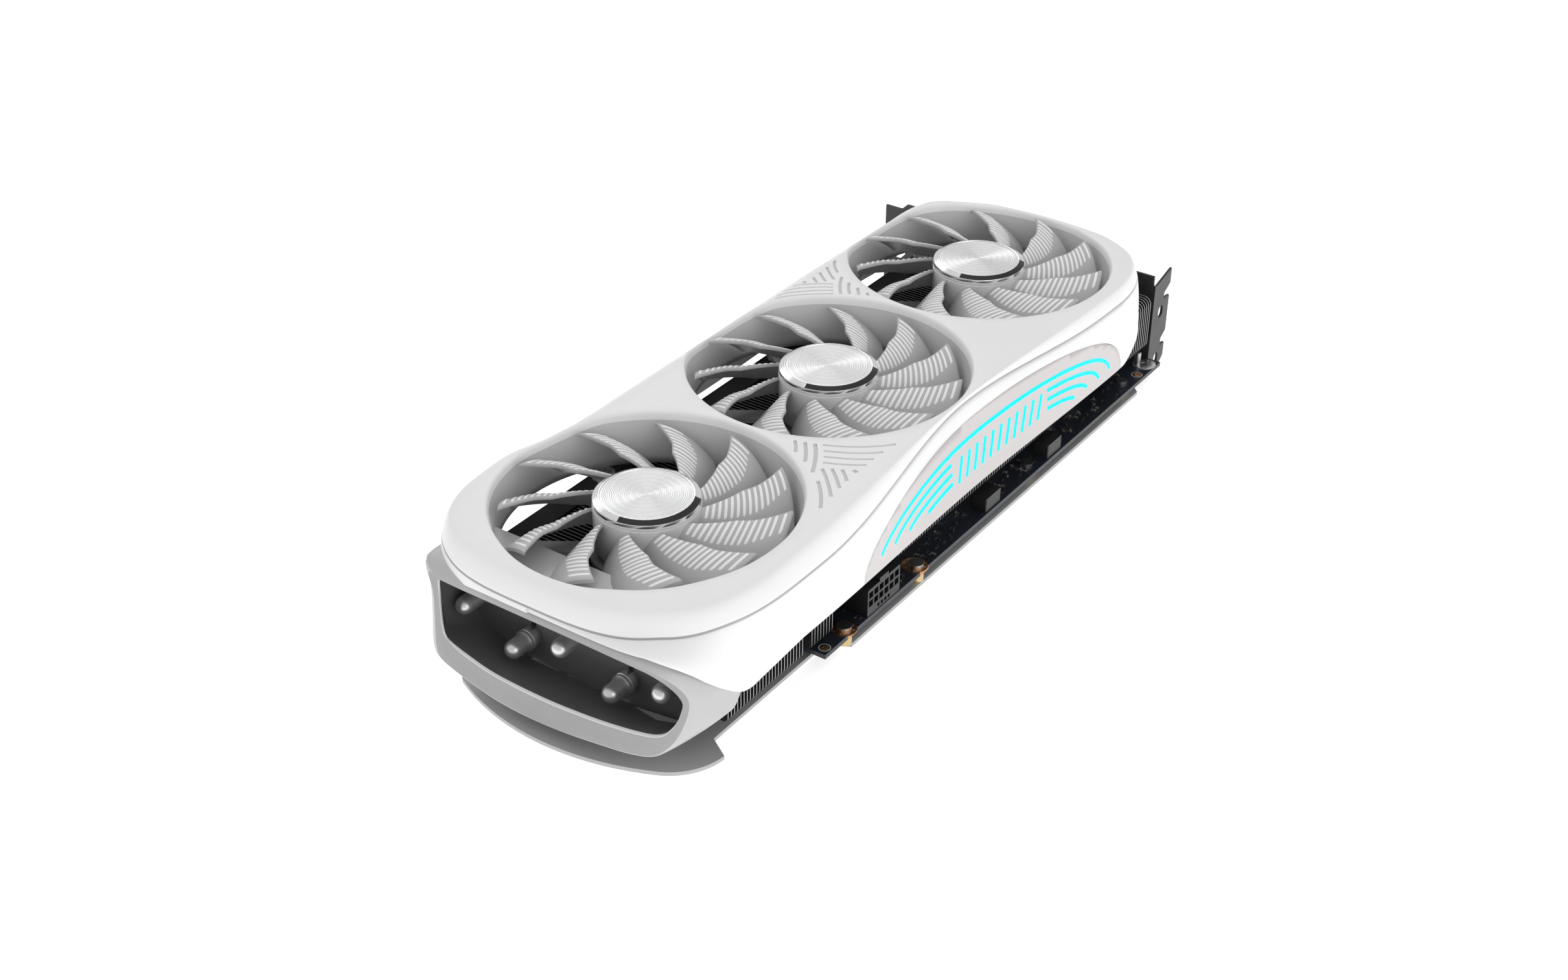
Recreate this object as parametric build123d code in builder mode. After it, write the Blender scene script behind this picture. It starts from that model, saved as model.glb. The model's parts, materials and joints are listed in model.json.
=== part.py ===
from build123d import *

import os
from math import cos, radians, sin

# Triple-fan graphics card, in millimetres.
# It lies on its backplate: +X towards the I/O bracket, +Y towards the slot connector on the
# board's edge, +Z out of the fans. The origin is the centre of the bounding box's underside.

# ---------------------------------------------------------------- fans
FAN_PITCH = 97.6
FAN_MIDDLE_X = -5.5
FAN_Y = -7.8
FANS = {
    "fan_tail": FAN_MIDDLE_X - FAN_PITCH,
    "fan_middle": FAN_MIDDLE_X,
    "fan_io": FAN_MIDDLE_X + FAN_PITCH,
}
BLADES = 11
BLADE_TIP_R = 44.5
BLADE_TOP_Z = 56.4
BLADE_THICKNESS = 1.3
FIRST_TIP_ANGLE = 34.8
# radius, leading-edge angle and trailing-edge angle behind the tip, leading and trailing depth
BLADE_STATIONS = (
    (15.9, 31, 57, 2.2, 12.0),
    (29.5, 12, 41, 1.4, 12.8),
    (44.5, 0, 26, 0.0, 12.0),
)
HUB_R = 16.6
HUB_WALL = 1.8
HUB_BOTTOM_Z = 39.5
HUB_TOP_Z = 55.6
HUB_ROOF = 2.0
CAP_R = 16.4
CAP_TOP_Z = 57.7
MAGNET_WALL = 1.6
SHAFT_R = 1.5
BEARING_CLEARANCE = 0.05
BEARING_R = 3.6
STATOR_R = 12.4
STATOR_POLES = 6
SPIDER_Z = 36.4
SPIDER_THICKNESS = 1.6
SPIDER_HUB_R = 18.0
SPIDER_ARM_WIDTH = 6.0
FAN_SCREW_R = 1.25
FAN_SCREW_HEAD_R = 2.4

# ---------------------------------------------------------------- shroud
CROWN_Z = 58.4
TAIL_X = -159.5
SHROUD_IO_X = 144.2
SIDE_Y = -66.2
FAR_Y = 45.2
BELT_Z = 49.0
SHROUD_WALL = 2.0
TAIL_LIP_Z = 45.4
FAR_WALL_Z = 36.5
DUCT_R = 45.6
DUCT_WALL = 3.0
DUCT_BOTTOM_Z = 40.5
RIM_R = 48.2
RIM_Z = 57.6
SEAM_INSET = 3.0
CORNER_R = 26.0
TAIL_BOW = 12.0
IO_BOW = 20.0
IO_LIP_TOP_Z = 52.4
SEAM_GAP = 0.3
BOSS_R = 3.5
SHROUD_SCREW_R = 1.3

# ---------------------------------------------------------------- light panel
PANEL_X = 14.5
PANEL_HALF_LENGTH = 84.0
PANEL_FOOT_Z = 25.0
PANEL_TOP_Z = 51.5
BAR_INSET_X = 8.5
BAR_TOP_Z = 46.0
BAR_STEP_X = 7.8
BAR_STEP_Z = 3.4
BAR_WIDTH = 1.4
BAR_DEPTH = 1.0
BAR_FOOT_Z = 32.6
BAR_GAP_LEFT_X = -14.0
BAR_GAP_RIGHT_X = 47.0
PANEL_GAP = 0.15

# ---------------------------------------------------------------- cooler
FIN_PITCH = 4.0
FIN_THICKNESS = 1.0
FIN_START_X = -127.5
FIN_END_X = 139.0
FIN_SIDE_Y = -55.3
FIN_FAR_Y = 37.7
FIN_TOP_Z = 35.4
FIN_TAIL_BOTTOM_Z = 7.9
FIN_MAIN_BOTTOM_Z = 14.4
FIN_STEP_X = -84.0
RAIL_THICKNESS = 1.0
RAIL_WIDTH = 8.0
RAIL_Y = (31.0, -48.0)
PIPE_R = 3.0
PIPE_TIP_X = -148.5
PIPE_UPPER_Z = 25.9
PIPE_LOWER_Z = 17.4
PIPE_PITCH = 18.75
PLATE_PIPE_PITCH = 6.6
PIPE_BEND_START_X = -78.0
PIPE_BEND_END_X = -38.0
PIPE_END_X = 62.0
COLD_PLATE_X = 12.0
COLD_PLATE_LENGTH = 84.0
COLD_PLATE_WIDTH = 76.0

# ---------------------------------------------------------------- board
BOARD_BOTTOM_Z = 5.0
BOARD_TOP_Z = 6.6
BOARD_TAIL_X = -82.0
BOARD_IO_X = 146.2
BOARD_SIDE_Y = -59.1
BOARD_FAR_Y = 44.0
FINGER_Y = 52.05
KEY_X = 90.15
KEY_WIDTH = 1.9
FINGER_IO_X = 102.4
FINGER_TAIL_X = 17.5
GPU_X = 12.0
GPU_SIZE = 42.0
DIE_LENGTH = 27.0
DIE_WIDTH = 23.0
PACKAGE_TOP_Z = 7.8
DIE_TOP_Z = 8.6
CONNECTOR_X = -48.6
CONNECTOR_WIDTH = 18.8
CONNECTOR_HEIGHT = 10.2
CONNECTOR_FACE_Y = -58.9
CONNECTOR_DEPTH = 14.0
CELL_PITCH = 3.0
CELL_SIZE = 2.3
BOARD_SCREWS = ((-66.9, -56.0), (-24.3, -56.0))
BACK_SCREWS = ((-76.0, 38.0), (4.0, 38.0), (128.0, 38.0), (-76.0, -40.0), (52.0, -54.0), (124.0, -54.0))
IO_HOLE = (141.3, -54.2)
FINGER_FILM = 0.05
CELL_X = tuple(CONNECTOR_X + (k - 2.5) * CELL_PITCH for k in range(6))
POWER_CELL_Z = (BOARD_TOP_Z + 4.6, BOARD_TOP_Z + 7.8)
SENSE_CELL_X = tuple(CONNECTOR_X + (k - 1.5) * 2.0 for k in range(4))
SENSE_CELL_Z = BOARD_TOP_Z + 1.6

# ---------------------------------------------------------------- backplate
BACKPLATE_THICKNESS = 1.4

# ---------------------------------------------------------------- I/O end
BRACKET_FACE_X = 147.3
BRACKET_THICKNESS = 1.0
BRACKET_SIDE_Y = -53.8
BRACKET_TONGUE_Y = 66.2
BRACKET_SHOULDER_Y = 56.4
BRACKET_BOTTOM_Z = 2.1
BRACKET_TOP_Z = 40.8
TAB_ROOT_TOP_Z = 36.8
TAB_END_X = 159.5
TAB_SLOT_X = 153.1
TAB_SLOT_Z = (3.4, 23.72)
TAB_SLOT_LENGTH = 5.0
TAB_SLOT_R = 1.8
DISPLAYPORT_Y = (-36.0, -14.0, 30.0)
HDMI_Y = 8.0
DISPLAYPORT_SIZE = (17.2, 6.4)
HDMI_SIZE = (15.8, 6.6)
PORT_Z = 10.0
PORT_DEPTH = 17.0

UPRIGHT = (Align.CENTER, Align.CENTER, Align.MIN)
RAIL_TOP_Z = FIN_TOP_Z + RAIL_THICKNESS
BOSS_X = (FAN_MIDDLE_X - FAN_PITCH / 2, FAN_MIDDLE_X + FAN_PITCH / 2)

os.makedirs("parts", exist_ok=True)


def save(part, name):
    """Label one finished piece and write it to its own file."""
    part.label = name
    export_step(part, f"parts/{name}.step")


def group(parts):
    """Several separate solids as one piece of the assembly."""
    return Compound(children=[Compound(p.wrapped) for p in parts])


def shroud_plan():
    """The shroud's outline from above: bowed ends, straight sides, rounded corners."""
    with BuildSketch() as plan:
        with BuildLine():
            end_y = SIDE_Y - FAN_Y
            tail_end_x = TAIL_X + TAIL_BOW
            io_end_x = SHROUD_IO_X - IO_BOW
            tail_arc = ThreePointArc((tail_end_x, FAN_Y - end_y), (TAIL_X, FAN_Y), (tail_end_x, FAN_Y + end_y))
            io_arc = ThreePointArc((io_end_x, FAN_Y + end_y), (SHROUD_IO_X, FAN_Y), (io_end_x, FAN_Y - end_y))
            Line(tail_arc @ 1, io_arc @ 0)
            Line(io_arc @ 1, tail_arc @ 0)
        make_face()
        with Locations((0, FAR_Y)):
            Rectangle(400, 40, align=(Align.CENTER, Align.MIN), mode=Mode.SUBTRACT)
        fillet(plan.vertices(), CORNER_R)
    return plan.sketch


def plan_prism(inset):
    """A tall prism on the shroud's outline, moved in by inset."""
    with BuildPart() as prism:
        with BuildSketch():
            add(shroud_plan())
            if inset:
                offset(amount=-inset)
        extrude(amount=CROWN_Z + 10)
    return prism.part


def profile_prism(points, start_y, end_y):
    """A prism along Y on a closed outline given as (x, z) points."""
    with BuildPart() as prism:
        with BuildSketch(Plane.XZ.offset(-start_y)):
            Polygon(*points, align=None)
        extrude(amount=start_y - end_y)
    return prism.part


def shroud_form(inset):
    """The shroud's closed outer form, or with an inset the space inside its walls."""
    top = profile_prism(
        (
            (TAIL_X - 1, 0),
            (SHROUD_IO_X + 1, 0),
            (SHROUD_IO_X + 1, IO_LIP_TOP_Z - inset),
            (FANS["fan_io"] + 34, CROWN_Z - inset),
            (FANS["fan_tail"] - 34, CROWN_Z - inset),
            (TAIL_X - 1, BELT_Z - inset),
        ),
        -100,
        100,
    )
    return plan_prism(inset) & top


# the lower edge of each long wall, from the tail to the I/O end
LOWER_SIDE = (
    (TAIL_X - 1, TAIL_LIP_Z),
    (-152, TAIL_LIP_Z),
    (-137, 26.5),
    (108, 27.8),
    (133, 43.5),
    (SHROUD_IO_X + 1, 46.0),
    (SHROUD_IO_X + 1, -1),
    (TAIL_X - 1, -1),
)
LOWER_FAR = (
    (TAIL_X - 1, TAIL_LIP_Z),
    (-143, TAIL_LIP_Z),
    (-128, 31.0),
    (-112, 31.0),
    (-104, FAR_WALL_Z),
    (110, FAR_WALL_Z),
    (133, 43.5),
    (SHROUD_IO_X + 1, 46.0),
    (SHROUD_IO_X + 1, -1),
    (TAIL_X - 1, -1),
)


def fan_opening():
    """The air way through one duct: straight below, flaring to the rounded rim."""
    with BuildPart() as opening:
        with BuildSketch(Plane.XZ):
            with BuildLine():
                Line((0, DUCT_BOTTOM_Z - 1), (DUCT_R, DUCT_BOTTOM_Z - 1))
                Line((DUCT_R, DUCT_BOTTOM_Z - 1), (DUCT_R, 50))
                flare = TangentArc((DUCT_R, 50), (RIM_R, RIM_Z), tangent=(0, 1))
                Polyline(flare @ 1, (RIM_R + 1.0, CROWN_Z + 1), (0, CROWN_Z + 1))
                Line((0, CROWN_Z + 1), (0, DUCT_BOTTOM_Z - 1))
            make_face()
        revolve(axis=Axis.Z)
    return opening.part


def arch_wire(inset_x, top_z):
    """An arch seen along Y: upright ends, rounded shoulders and a flat top."""
    left = PANEL_X - PANEL_HALF_LENGTH + inset_x
    right = PANEL_X + PANEL_HALF_LENGTH - inset_x
    radius = top_z - PANEL_FOOT_Z - 1
    return FilletPolyline(
        (left, PANEL_FOOT_Z), (left, top_z), (right, top_z), (right, PANEL_FOOT_Z), radius=radius
    )


def arch_prism(inset):
    """The prism of the light panel's window through the wall on the power side."""
    with BuildPart() as prism:
        with BuildSketch(Plane.XZ.offset(50)):
            with BuildLine():
                arch = arch_wire(inset, PANEL_TOP_Z - inset)
                Line(arch @ 1, arch @ 0)
            make_face()
        extrude(amount=40)
    return prism.part


def bar_prisms():
    """Prisms of the light bars: one long arch, and three short arcs nested at each end."""
    prisms = []
    for k in range(4):
        with BuildPart() as bar:
            with BuildSketch(Plane.XZ.offset(50)):
                with BuildLine():
                    arch = arch_wire(BAR_INSET_X + k * BAR_STEP_X, BAR_TOP_Z - k * BAR_STEP_Z)
                trace(lines=arch, line_width=BAR_WIDTH)
            extrude(amount=40)
            with Locations((PANEL_X, -70, BAR_FOOT_Z - 20)):
                Box(200, 60, 40, mode=Mode.SUBTRACT)
            if k:
                gap = BAR_GAP_RIGHT_X - BAR_GAP_LEFT_X
                with Locations((BAR_GAP_LEFT_X + gap / 2, -70, 40)):
                    Box(gap, 60, 60, mode=Mode.SUBTRACT)
        prisms += bar.part.solids()
    return prisms


# ---------------------------------------------------------------- shroud pieces
outer_form = shroud_form(0)
inner_form = shroud_form(SHROUD_WALL)
opening = fan_opening()
openings = [Pos(x, FAN_Y, 0) * opening for x in FANS.values()]
lower_side = profile_prism(LOWER_SIDE, -100, FAN_Y)
lower_far = profile_prism(LOWER_FAR, FAN_Y, 100)

with BuildPart() as shroud_shell:
    add(outer_form)
    add(inner_form, mode=Mode.SUBTRACT)
    add(lower_side, mode=Mode.SUBTRACT)
    add(lower_far, mode=Mode.SUBTRACT)

with BuildPart() as ducts:
    with Locations(*[(x, FAN_Y, DUCT_BOTTOM_Z) for x in FANS.values()]):
        Cylinder(DUCT_R + DUCT_WALL, CROWN_Z - DUCT_BOTTOM_Z, align=UPRIGHT)
    with Locations(*[(x, y, RAIL_TOP_Z) for x in BOSS_X for y in RAIL_Y]):
        Cylinder(BOSS_R, CROWN_Z - RAIL_TOP_Z, align=UPRIGHT)
    add(outer_form, mode=Mode.INTERSECT)

with BuildPart() as shroud:
    add(shroud_shell.part)
    add(ducts.part)
    for placed_opening in openings:
        add(placed_opening, mode=Mode.SUBTRACT)
    with Locations(*[(x, y, RAIL_TOP_Z) for x in BOSS_X for y in RAIL_Y]):
        Cylinder(SHROUD_SCREW_R, 12, align=UPRIGHT, mode=Mode.SUBTRACT)

inside_seam = plan_prism(SEAM_INSET + SEAM_GAP)
outside_seam = plan_prism(SEAM_INSET)

with BuildPart() as shroud_top_plate:
    add(shroud.part)
    add(inside_seam, mode=Mode.INTERSECT)
save(shroud_top_plate.part, "shroud_top_plate")

window = arch_prism(0)
with BuildPart() as shroud_side_frame:
    add(shroud.part)
    add(outside_seam, mode=Mode.SUBTRACT)
    add(window, mode=Mode.SUBTRACT)
save(shroud_side_frame.part, "shroud_side_frame")

# the wall inside the window, and the outer part of it that the light bars fill
panel_window = arch_prism(PANEL_GAP)
bar_floor = plan_prism(BAR_DEPTH)
with BuildPart() as window_wall:
    add(outer_form)
    add(panel_window, mode=Mode.INTERSECT)
    add(inner_form, mode=Mode.SUBTRACT)
    add(lower_side, mode=Mode.SUBTRACT)

with BuildPart() as bar_layer:
    add(window_wall.part)
    add(bar_floor, mode=Mode.SUBTRACT)

light_bars = [solid for bar in bar_prisms() for solid in (bar & bar_layer.part).solids()]
save(group(light_bars), "light_bars")

with BuildPart() as side_light_panel:
    add(window_wall.part)
    for solid in light_bars:
        add(solid, mode=Mode.SUBTRACT)
save(side_light_panel.part, "side_light_panel")

with BuildPart() as led_strip:
    with Locations((PANEL_X, -57.6, 29.5)):
        Box(110, 1.0, 7.0, align=UPRIGHT)
    with Locations((PANEL_X, -57.6, 33.0)):
        with GridLocations(11, 0, 10, 1):
            Box(3.5, 2.4, 3.5)
save(led_strip.part, "led_strip")

# ---------------------------------------------------------------- fans


def blade_section(radius, leading, trailing, leading_depth, trailing_depth):
    """One blade section, a thin parallelogram square to the radius at its middle."""
    middle = radians(FIRST_TIP_ANGLE - (leading + trailing) / 2)
    half_turn = radians((trailing - leading) / 2)
    reach = radius * cos(half_turn)
    plane = Plane(
        origin=(reach * cos(middle), reach * sin(middle), BLADE_TOP_Z),
        x_dir=(-sin(middle), cos(middle), 0),
        z_dir=(cos(middle), sin(middle), 0),
    )
    half_chord = radius * sin(half_turn)
    front = Vector(half_chord, -leading_depth)
    back = Vector(-half_chord, -trailing_depth)
    normal = Vector(-(front - back).Y, (front - back).X).normalized()
    below = normal * BLADE_THICKNESS
    with BuildSketch(plane) as section:
        Polygon(front, back, back - below, front - below, align=None)
    return section.sketch


blade_sections = [blade_section(*station) for station in BLADE_STATIONS]
with BuildPart() as blade:
    add(blade_sections)
    loft(ruled=True)

with BuildPart() as rotor_shape:
    with Locations((0, 0, HUB_BOTTOM_Z)):
        Cylinder(HUB_R, HUB_TOP_Z - HUB_BOTTOM_Z, align=UPRIGHT)
    with PolarLocations(0, BLADES):
        add(blade.part)
    with Locations((0, 0, HUB_BOTTOM_Z)):
        Cylinder(HUB_R - HUB_WALL, HUB_TOP_Z - HUB_ROOF - HUB_BOTTOM_Z, align=UPRIGHT, mode=Mode.SUBTRACT)
        Cylinder(SHAFT_R, HUB_TOP_Z - 0.8 - HUB_BOTTOM_Z, align=UPRIGHT, mode=Mode.SUBTRACT)

with BuildPart() as cap_shape:
    with Locations((0, 0, HUB_TOP_Z)):
        Cylinder(CAP_R, CAP_TOP_Z - HUB_TOP_Z, align=UPRIGHT)
    chamfer(cap_shape.edges().group_by(Axis.Z)[-1], 0.8)

with BuildPart() as magnet_shape:
    with Locations((0, 0, HUB_BOTTOM_Z + 1)):
        Cylinder(HUB_R - HUB_WALL, 11, align=UPRIGHT)
        Cylinder(HUB_R - HUB_WALL - MAGNET_WALL, 11, align=UPRIGHT, mode=Mode.SUBTRACT)

SHAFT_BOTTOM_Z = SPIDER_Z + 1.0
with BuildPart() as shaft_shape:
    with Locations((0, 0, SHAFT_BOTTOM_Z)):
        Cylinder(SHAFT_R, HUB_TOP_Z - 0.8 - SHAFT_BOTTOM_Z, align=UPRIGHT)

with BuildPart() as bearing_shape:
    with Locations((0, 0, SPIDER_Z + SPIDER_THICKNESS)):
        Cylinder(BEARING_R, 13.5, align=UPRIGHT)
        Cylinder(SHAFT_R + BEARING_CLEARANCE, 13.5, align=UPRIGHT, mode=Mode.SUBTRACT)

with BuildPart() as stator_shape:
    with Locations((0, 0, HUB_BOTTOM_Z + 2.5)):
        Cylinder(BEARING_R + 2.4, 7, align=UPRIGHT)
    with PolarLocations(0, STATOR_POLES):
        with Locations((STATOR_R / 2, 0, HUB_BOTTOM_Z + 2.5)):
            Box(STATOR_R - 1.5, 2.6, 7, align=UPRIGHT)
        with Locations((STATOR_R - 1.6, 0, HUB_BOTTOM_Z + 2.5)):
            Box(1.8, 8.4, 7, align=UPRIGHT)
    with Locations((0, 0, HUB_BOTTOM_Z + 2.5)):
        Cylinder(BEARING_R, 7, align=UPRIGHT, mode=Mode.SUBTRACT)

LUG_X = 26.0
with BuildPart() as spider_shape:
    with BuildSketch(Plane.XY.offset(SPIDER_Z)):
        Circle(SPIDER_HUB_R)
        for y in RAIL_Y:
            for x in (-LUG_X, LUG_X):
                with BuildLine():
                    arm = Line((0, 0), (x, y - FAN_Y))
                trace(lines=arm, line_width=SPIDER_ARM_WIDTH)
                with Locations((x, y - FAN_Y)):
                    Circle(SPIDER_ARM_WIDTH / 2 + 0.8)
    extrude(amount=SPIDER_THICKNESS)
    with BuildSketch(Plane.XY.offset(SPIDER_Z)):
        with Locations(*[(x, y - FAN_Y) for x in (-LUG_X, LUG_X) for y in RAIL_Y]):
            Circle(FAN_SCREW_R)
    extrude(amount=SPIDER_THICKNESS, mode=Mode.SUBTRACT)
    with Locations((0, 0, SHAFT_BOTTOM_Z)):
        Cylinder(SHAFT_R + BEARING_CLEARANCE, 5, align=UPRIGHT, mode=Mode.SUBTRACT)

FAN_PIECES = {
    "rotor": rotor_shape,
    "hub_cap": cap_shape,
    "magnet_ring": magnet_shape,
    "shaft": shaft_shape,
    "bearing": bearing_shape,
    "stator": stator_shape,
    "spider": spider_shape,
}
for fan, x in FANS.items():
    for piece, shape in FAN_PIECES.items():
        save(Pos(x, FAN_Y, 0) * shape.part, f"{fan}_{piece}")


def headed_screw(x, y, head_z, head_height, head_r, shank_r, shank_length, up):
    """A pan-head screw; its head stands on head_z and its shank runs the other way."""
    side = 1 if up else -1
    with BuildPart() as screw:
        with BuildSketch(Plane.XY.offset(head_z)):
            with Locations((x, y)):
                Circle(head_r)
        extrude(amount=side * head_height)
        with BuildSketch(Plane.XY.offset(head_z)):
            with Locations((x, y)):
                Circle(shank_r)
        extrude(amount=-side * shank_length)
    return screw.part


lugs = [(fan_x + x, y) for fan_x in FANS.values() for x in (-LUG_X, LUG_X) for y in RAIL_Y]
lug_top = SPIDER_Z + SPIDER_THICKNESS
fan_screws = [
    headed_screw(x, y, lug_top, 1.4, FAN_SCREW_HEAD_R, FAN_SCREW_R, SPIDER_THICKNESS + RAIL_THICKNESS, True)
    for x, y in lugs
]
save(group(fan_screws), "fan_screws")

# ---------------------------------------------------------------- cooler
PIPE_ROWS = [(k, PIPE_UPPER_Z if k % 2 == 0 else PIPE_LOWER_Z) for k in (-2, -1, 0, 1, 2)]
PIPE_PLATE_Z = PIPE_LOWER_Z


def heat_pipe(k, tip_z):
    """A closed pipe with round ends: level in the tail fins, then down and in to the plate."""
    tip = Vector(PIPE_TIP_X + PIPE_R, FAN_Y + k * PIPE_PITCH, tip_z)
    start = Vector(PIPE_BEND_START_X, tip.Y, tip_z)
    landing = Vector(PIPE_BEND_END_X, FAN_Y + k * PLATE_PIPE_PITCH, PIPE_PLATE_Z)
    end = Vector(PIPE_END_X, landing.Y, PIPE_PLATE_Z)
    with BuildPart() as pipe:
        with BuildLine() as path:
            if (landing - start).Y == 0 and (landing - start).Z == 0:
                Line(tip, end)
            else:
                FilletPolyline(tip, start, landing, end, radius=16)
        with BuildSketch(Plane(origin=tip, z_dir=(1, 0, 0))):
            Circle(PIPE_R)
        sweep(path=path.line)
        with Locations(tip, end):
            Sphere(PIPE_R)
    return pipe.part


save(group([heat_pipe(k, z) for k, z in PIPE_ROWS if z == PIPE_UPPER_Z]), "heat_pipes_upper")
save(group([heat_pipe(k, z) for k, z in PIPE_ROWS if z == PIPE_LOWER_Z]), "heat_pipes_lower")

PLATE_SIZE = (COLD_PLATE_LENGTH, COLD_PLATE_WIDTH)
PLATE_TOP_Z = FIN_MAIN_BOTTOM_Z
with BuildPart() as cold_plate:
    with Locations((COLD_PLATE_X, FAN_Y, DIE_TOP_Z)):
        Box(*PLATE_SIZE, PLATE_TOP_Z - DIE_TOP_Z, align=UPRIGHT)
    fillet(cold_plate.edges().filter_by(Axis.Z), 4)
    with Locations(*[(COLD_PLATE_X + x, FAN_Y + y, DIE_TOP_Z) for x in (-32, 32) for y in (-32, 32)]):
        Cylinder(1.25, 4, align=UPRIGHT, mode=Mode.SUBTRACT)
save(cold_plate.part, "cold_plate")


def fin_comb(start_x, end_x, bottom_z, room):
    """A stack of upright fins across X, with round upper corners, tied together by two folded
    strips at the foot; room is what the fins leave free."""
    count = int((end_x - start_x) / FIN_PITCH)
    length = count * FIN_PITCH + FIN_THICKNESS
    with BuildPart() as comb:
        with BuildSketch(Plane.YZ.offset(start_x)):
            with BuildLine():
                sides = FilletPolyline(
                    (FIN_FAR_Y, bottom_z),
                    (FIN_FAR_Y, FIN_TOP_Z),
                    (FIN_SIDE_Y, FIN_TOP_Z),
                    (FIN_SIDE_Y, bottom_z),
                    radius=4,
                )
                Line(sides @ 1, sides @ 0)
            make_face()
        extrude(amount=length, dir=(1, 0, 0))
        with Locations((start_x + length / 2, 0, 0)):
            with GridLocations(FIN_PITCH, 0, count, 1):
                Box(FIN_PITCH - FIN_THICKNESS, 200, 100, mode=Mode.SUBTRACT)
        for y in (FIN_SIDE_Y + 1.5, FIN_FAR_Y - 1.5):
            with Locations((start_x + length / 2, y, bottom_z)):
                Box(length, 3, FIN_THICKNESS, align=UPRIGHT)
        add(room, mode=Mode.SUBTRACT)
    return comb.part


with BuildPart() as tail_room:
    for k, z in PIPE_ROWS:
        with BuildSketch(Plane.YZ.offset(FIN_START_X - 1)):
            with Locations((FAN_Y + k * PIPE_PITCH, z)):
                Circle(PIPE_R)
        extrude(amount=60, dir=(1, 0, 0))
fin_stack_tail = fin_comb(FIN_START_X, FIN_STEP_X - FIN_PITCH, FIN_TAIL_BOTTOM_Z, tail_room.part)
save(fin_stack_tail, "fin_stack_tail")

bend_width = 4 * PIPE_PITCH + 2 * PIPE_R + 2
plate_width = 4 * PLATE_PIPE_PITCH + 2 * PIPE_R + 1
with BuildPart() as main_room:
    # a pocket over the bending pipes, then a trench over the pipes on the cold plate
    with Locations(((FIN_STEP_X + PIPE_BEND_END_X) / 2, FAN_Y, 0)):
        Box(PIPE_BEND_END_X - FIN_STEP_X + 6, bend_width, 2 * (PIPE_UPPER_Z + PIPE_R + 1))
    with Locations(((PIPE_BEND_END_X + PIPE_END_X) / 2, FAN_Y, 0)):
        Box(PIPE_END_X - PIPE_BEND_END_X + 8, plate_width, 2 * (PIPE_PLATE_Z + PIPE_R))
    # room for the power connector and for the four shroud screws
    with Locations((CONNECTOR_X, FIN_SIDE_Y, 0)):
        Box(CONNECTOR_WIDTH + 9, 26, 2 * (BOARD_TOP_Z + CONNECTOR_HEIGHT + 3))
    with Locations(*[(x, y, FIN_TOP_Z - 4) for x in BOSS_X for y in RAIL_Y]):
        Cylinder(3.2, 5, align=UPRIGHT)
fin_stack_main = fin_comb(FIN_STEP_X, FIN_END_X, FIN_MAIN_BOTTOM_Z, main_room.part)
save(fin_stack_main, "fin_stack_main")

shroud_holes = [(x, y) for x in BOSS_X for y in RAIL_Y]
rails = []
for y in RAIL_Y:
    with BuildPart() as rail:
        with Locations(((FIN_START_X + FIN_END_X) / 2, y, FIN_TOP_Z)):
            Box(FIN_END_X - FIN_START_X - 4, RAIL_WIDTH, RAIL_THICKNESS, align=UPRIGHT)
        with Locations(*[(x, hy, FIN_TOP_Z) for x, hy in lugs + shroud_holes if hy == y]):
            Cylinder(FAN_SCREW_R, RAIL_THICKNESS, align=UPRIGHT, mode=Mode.SUBTRACT)
    rails.append(rail.part)
save(group(rails), "cooler_rails")

shroud_screws = [
    headed_screw(x, y, FIN_TOP_Z, 1.5, FAN_SCREW_HEAD_R, FAN_SCREW_R, RAIL_THICKNESS + 10, False)
    for x, y in shroud_holes
]
save(group(shroud_screws), "shroud_screws")

# ---------------------------------------------------------------- tail end frame
END_TOP_Z = 44.2
END_BACK_X = -129.0
END_WALL_X = -136.5
END_WALL = 1.5
END_CLEAR_R = 52.6
END_SIDE_Y = -64.8
END_FAR_Y = 35.5
END_RIM_WIDTH = 3.4


def end_outline(drop, side_y, far_y):
    """The tail frame seen along X: a straight top, a long low curve below."""
    with BuildSketch(Plane.YZ.offset(TAIL_X - 1)) as sketch:
        with BuildLine():
            top = END_TOP_Z - drop
            Polyline((side_y, 34), (side_y, top - 4), (side_y + 5, top), (far_y, top), (far_y, 11.5 + drop))
            Spline(
                (far_y, 11.5 + drop),
                (FAN_Y + 24, 7.5 + drop),
                (FAN_Y - 3, 5.8 + drop),
                (FAN_Y - 32, 9.5 + drop),
                (side_y + 9, 19.0 + drop),
                (side_y, 34),
            )
        make_face()
    return sketch.sketch


# the hollow is open at the front, and the side wall is left standing
hollow_outline = end_outline(END_RIM_WIDTH, END_SIDE_Y + 3.3, END_FAR_Y - 2.3)
hollow_plan = Pos(-24, 0, 0) * plan_prism(5.0)
frame_outline = end_outline(0, END_SIDE_Y, END_FAR_Y)
frame_plan = plan_prism(1.8)

with BuildPart() as end_hollow:
    add(hollow_outline)
    extrude(amount=END_BACK_X - TAIL_X + 3, dir=(1, 0, 0))
    add(hollow_plan, mode=Mode.INTERSECT)
    with Locations((END_WALL_X, 0, 0)):
        Box(END_WALL, 200, 120, mode=Mode.SUBTRACT)

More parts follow.
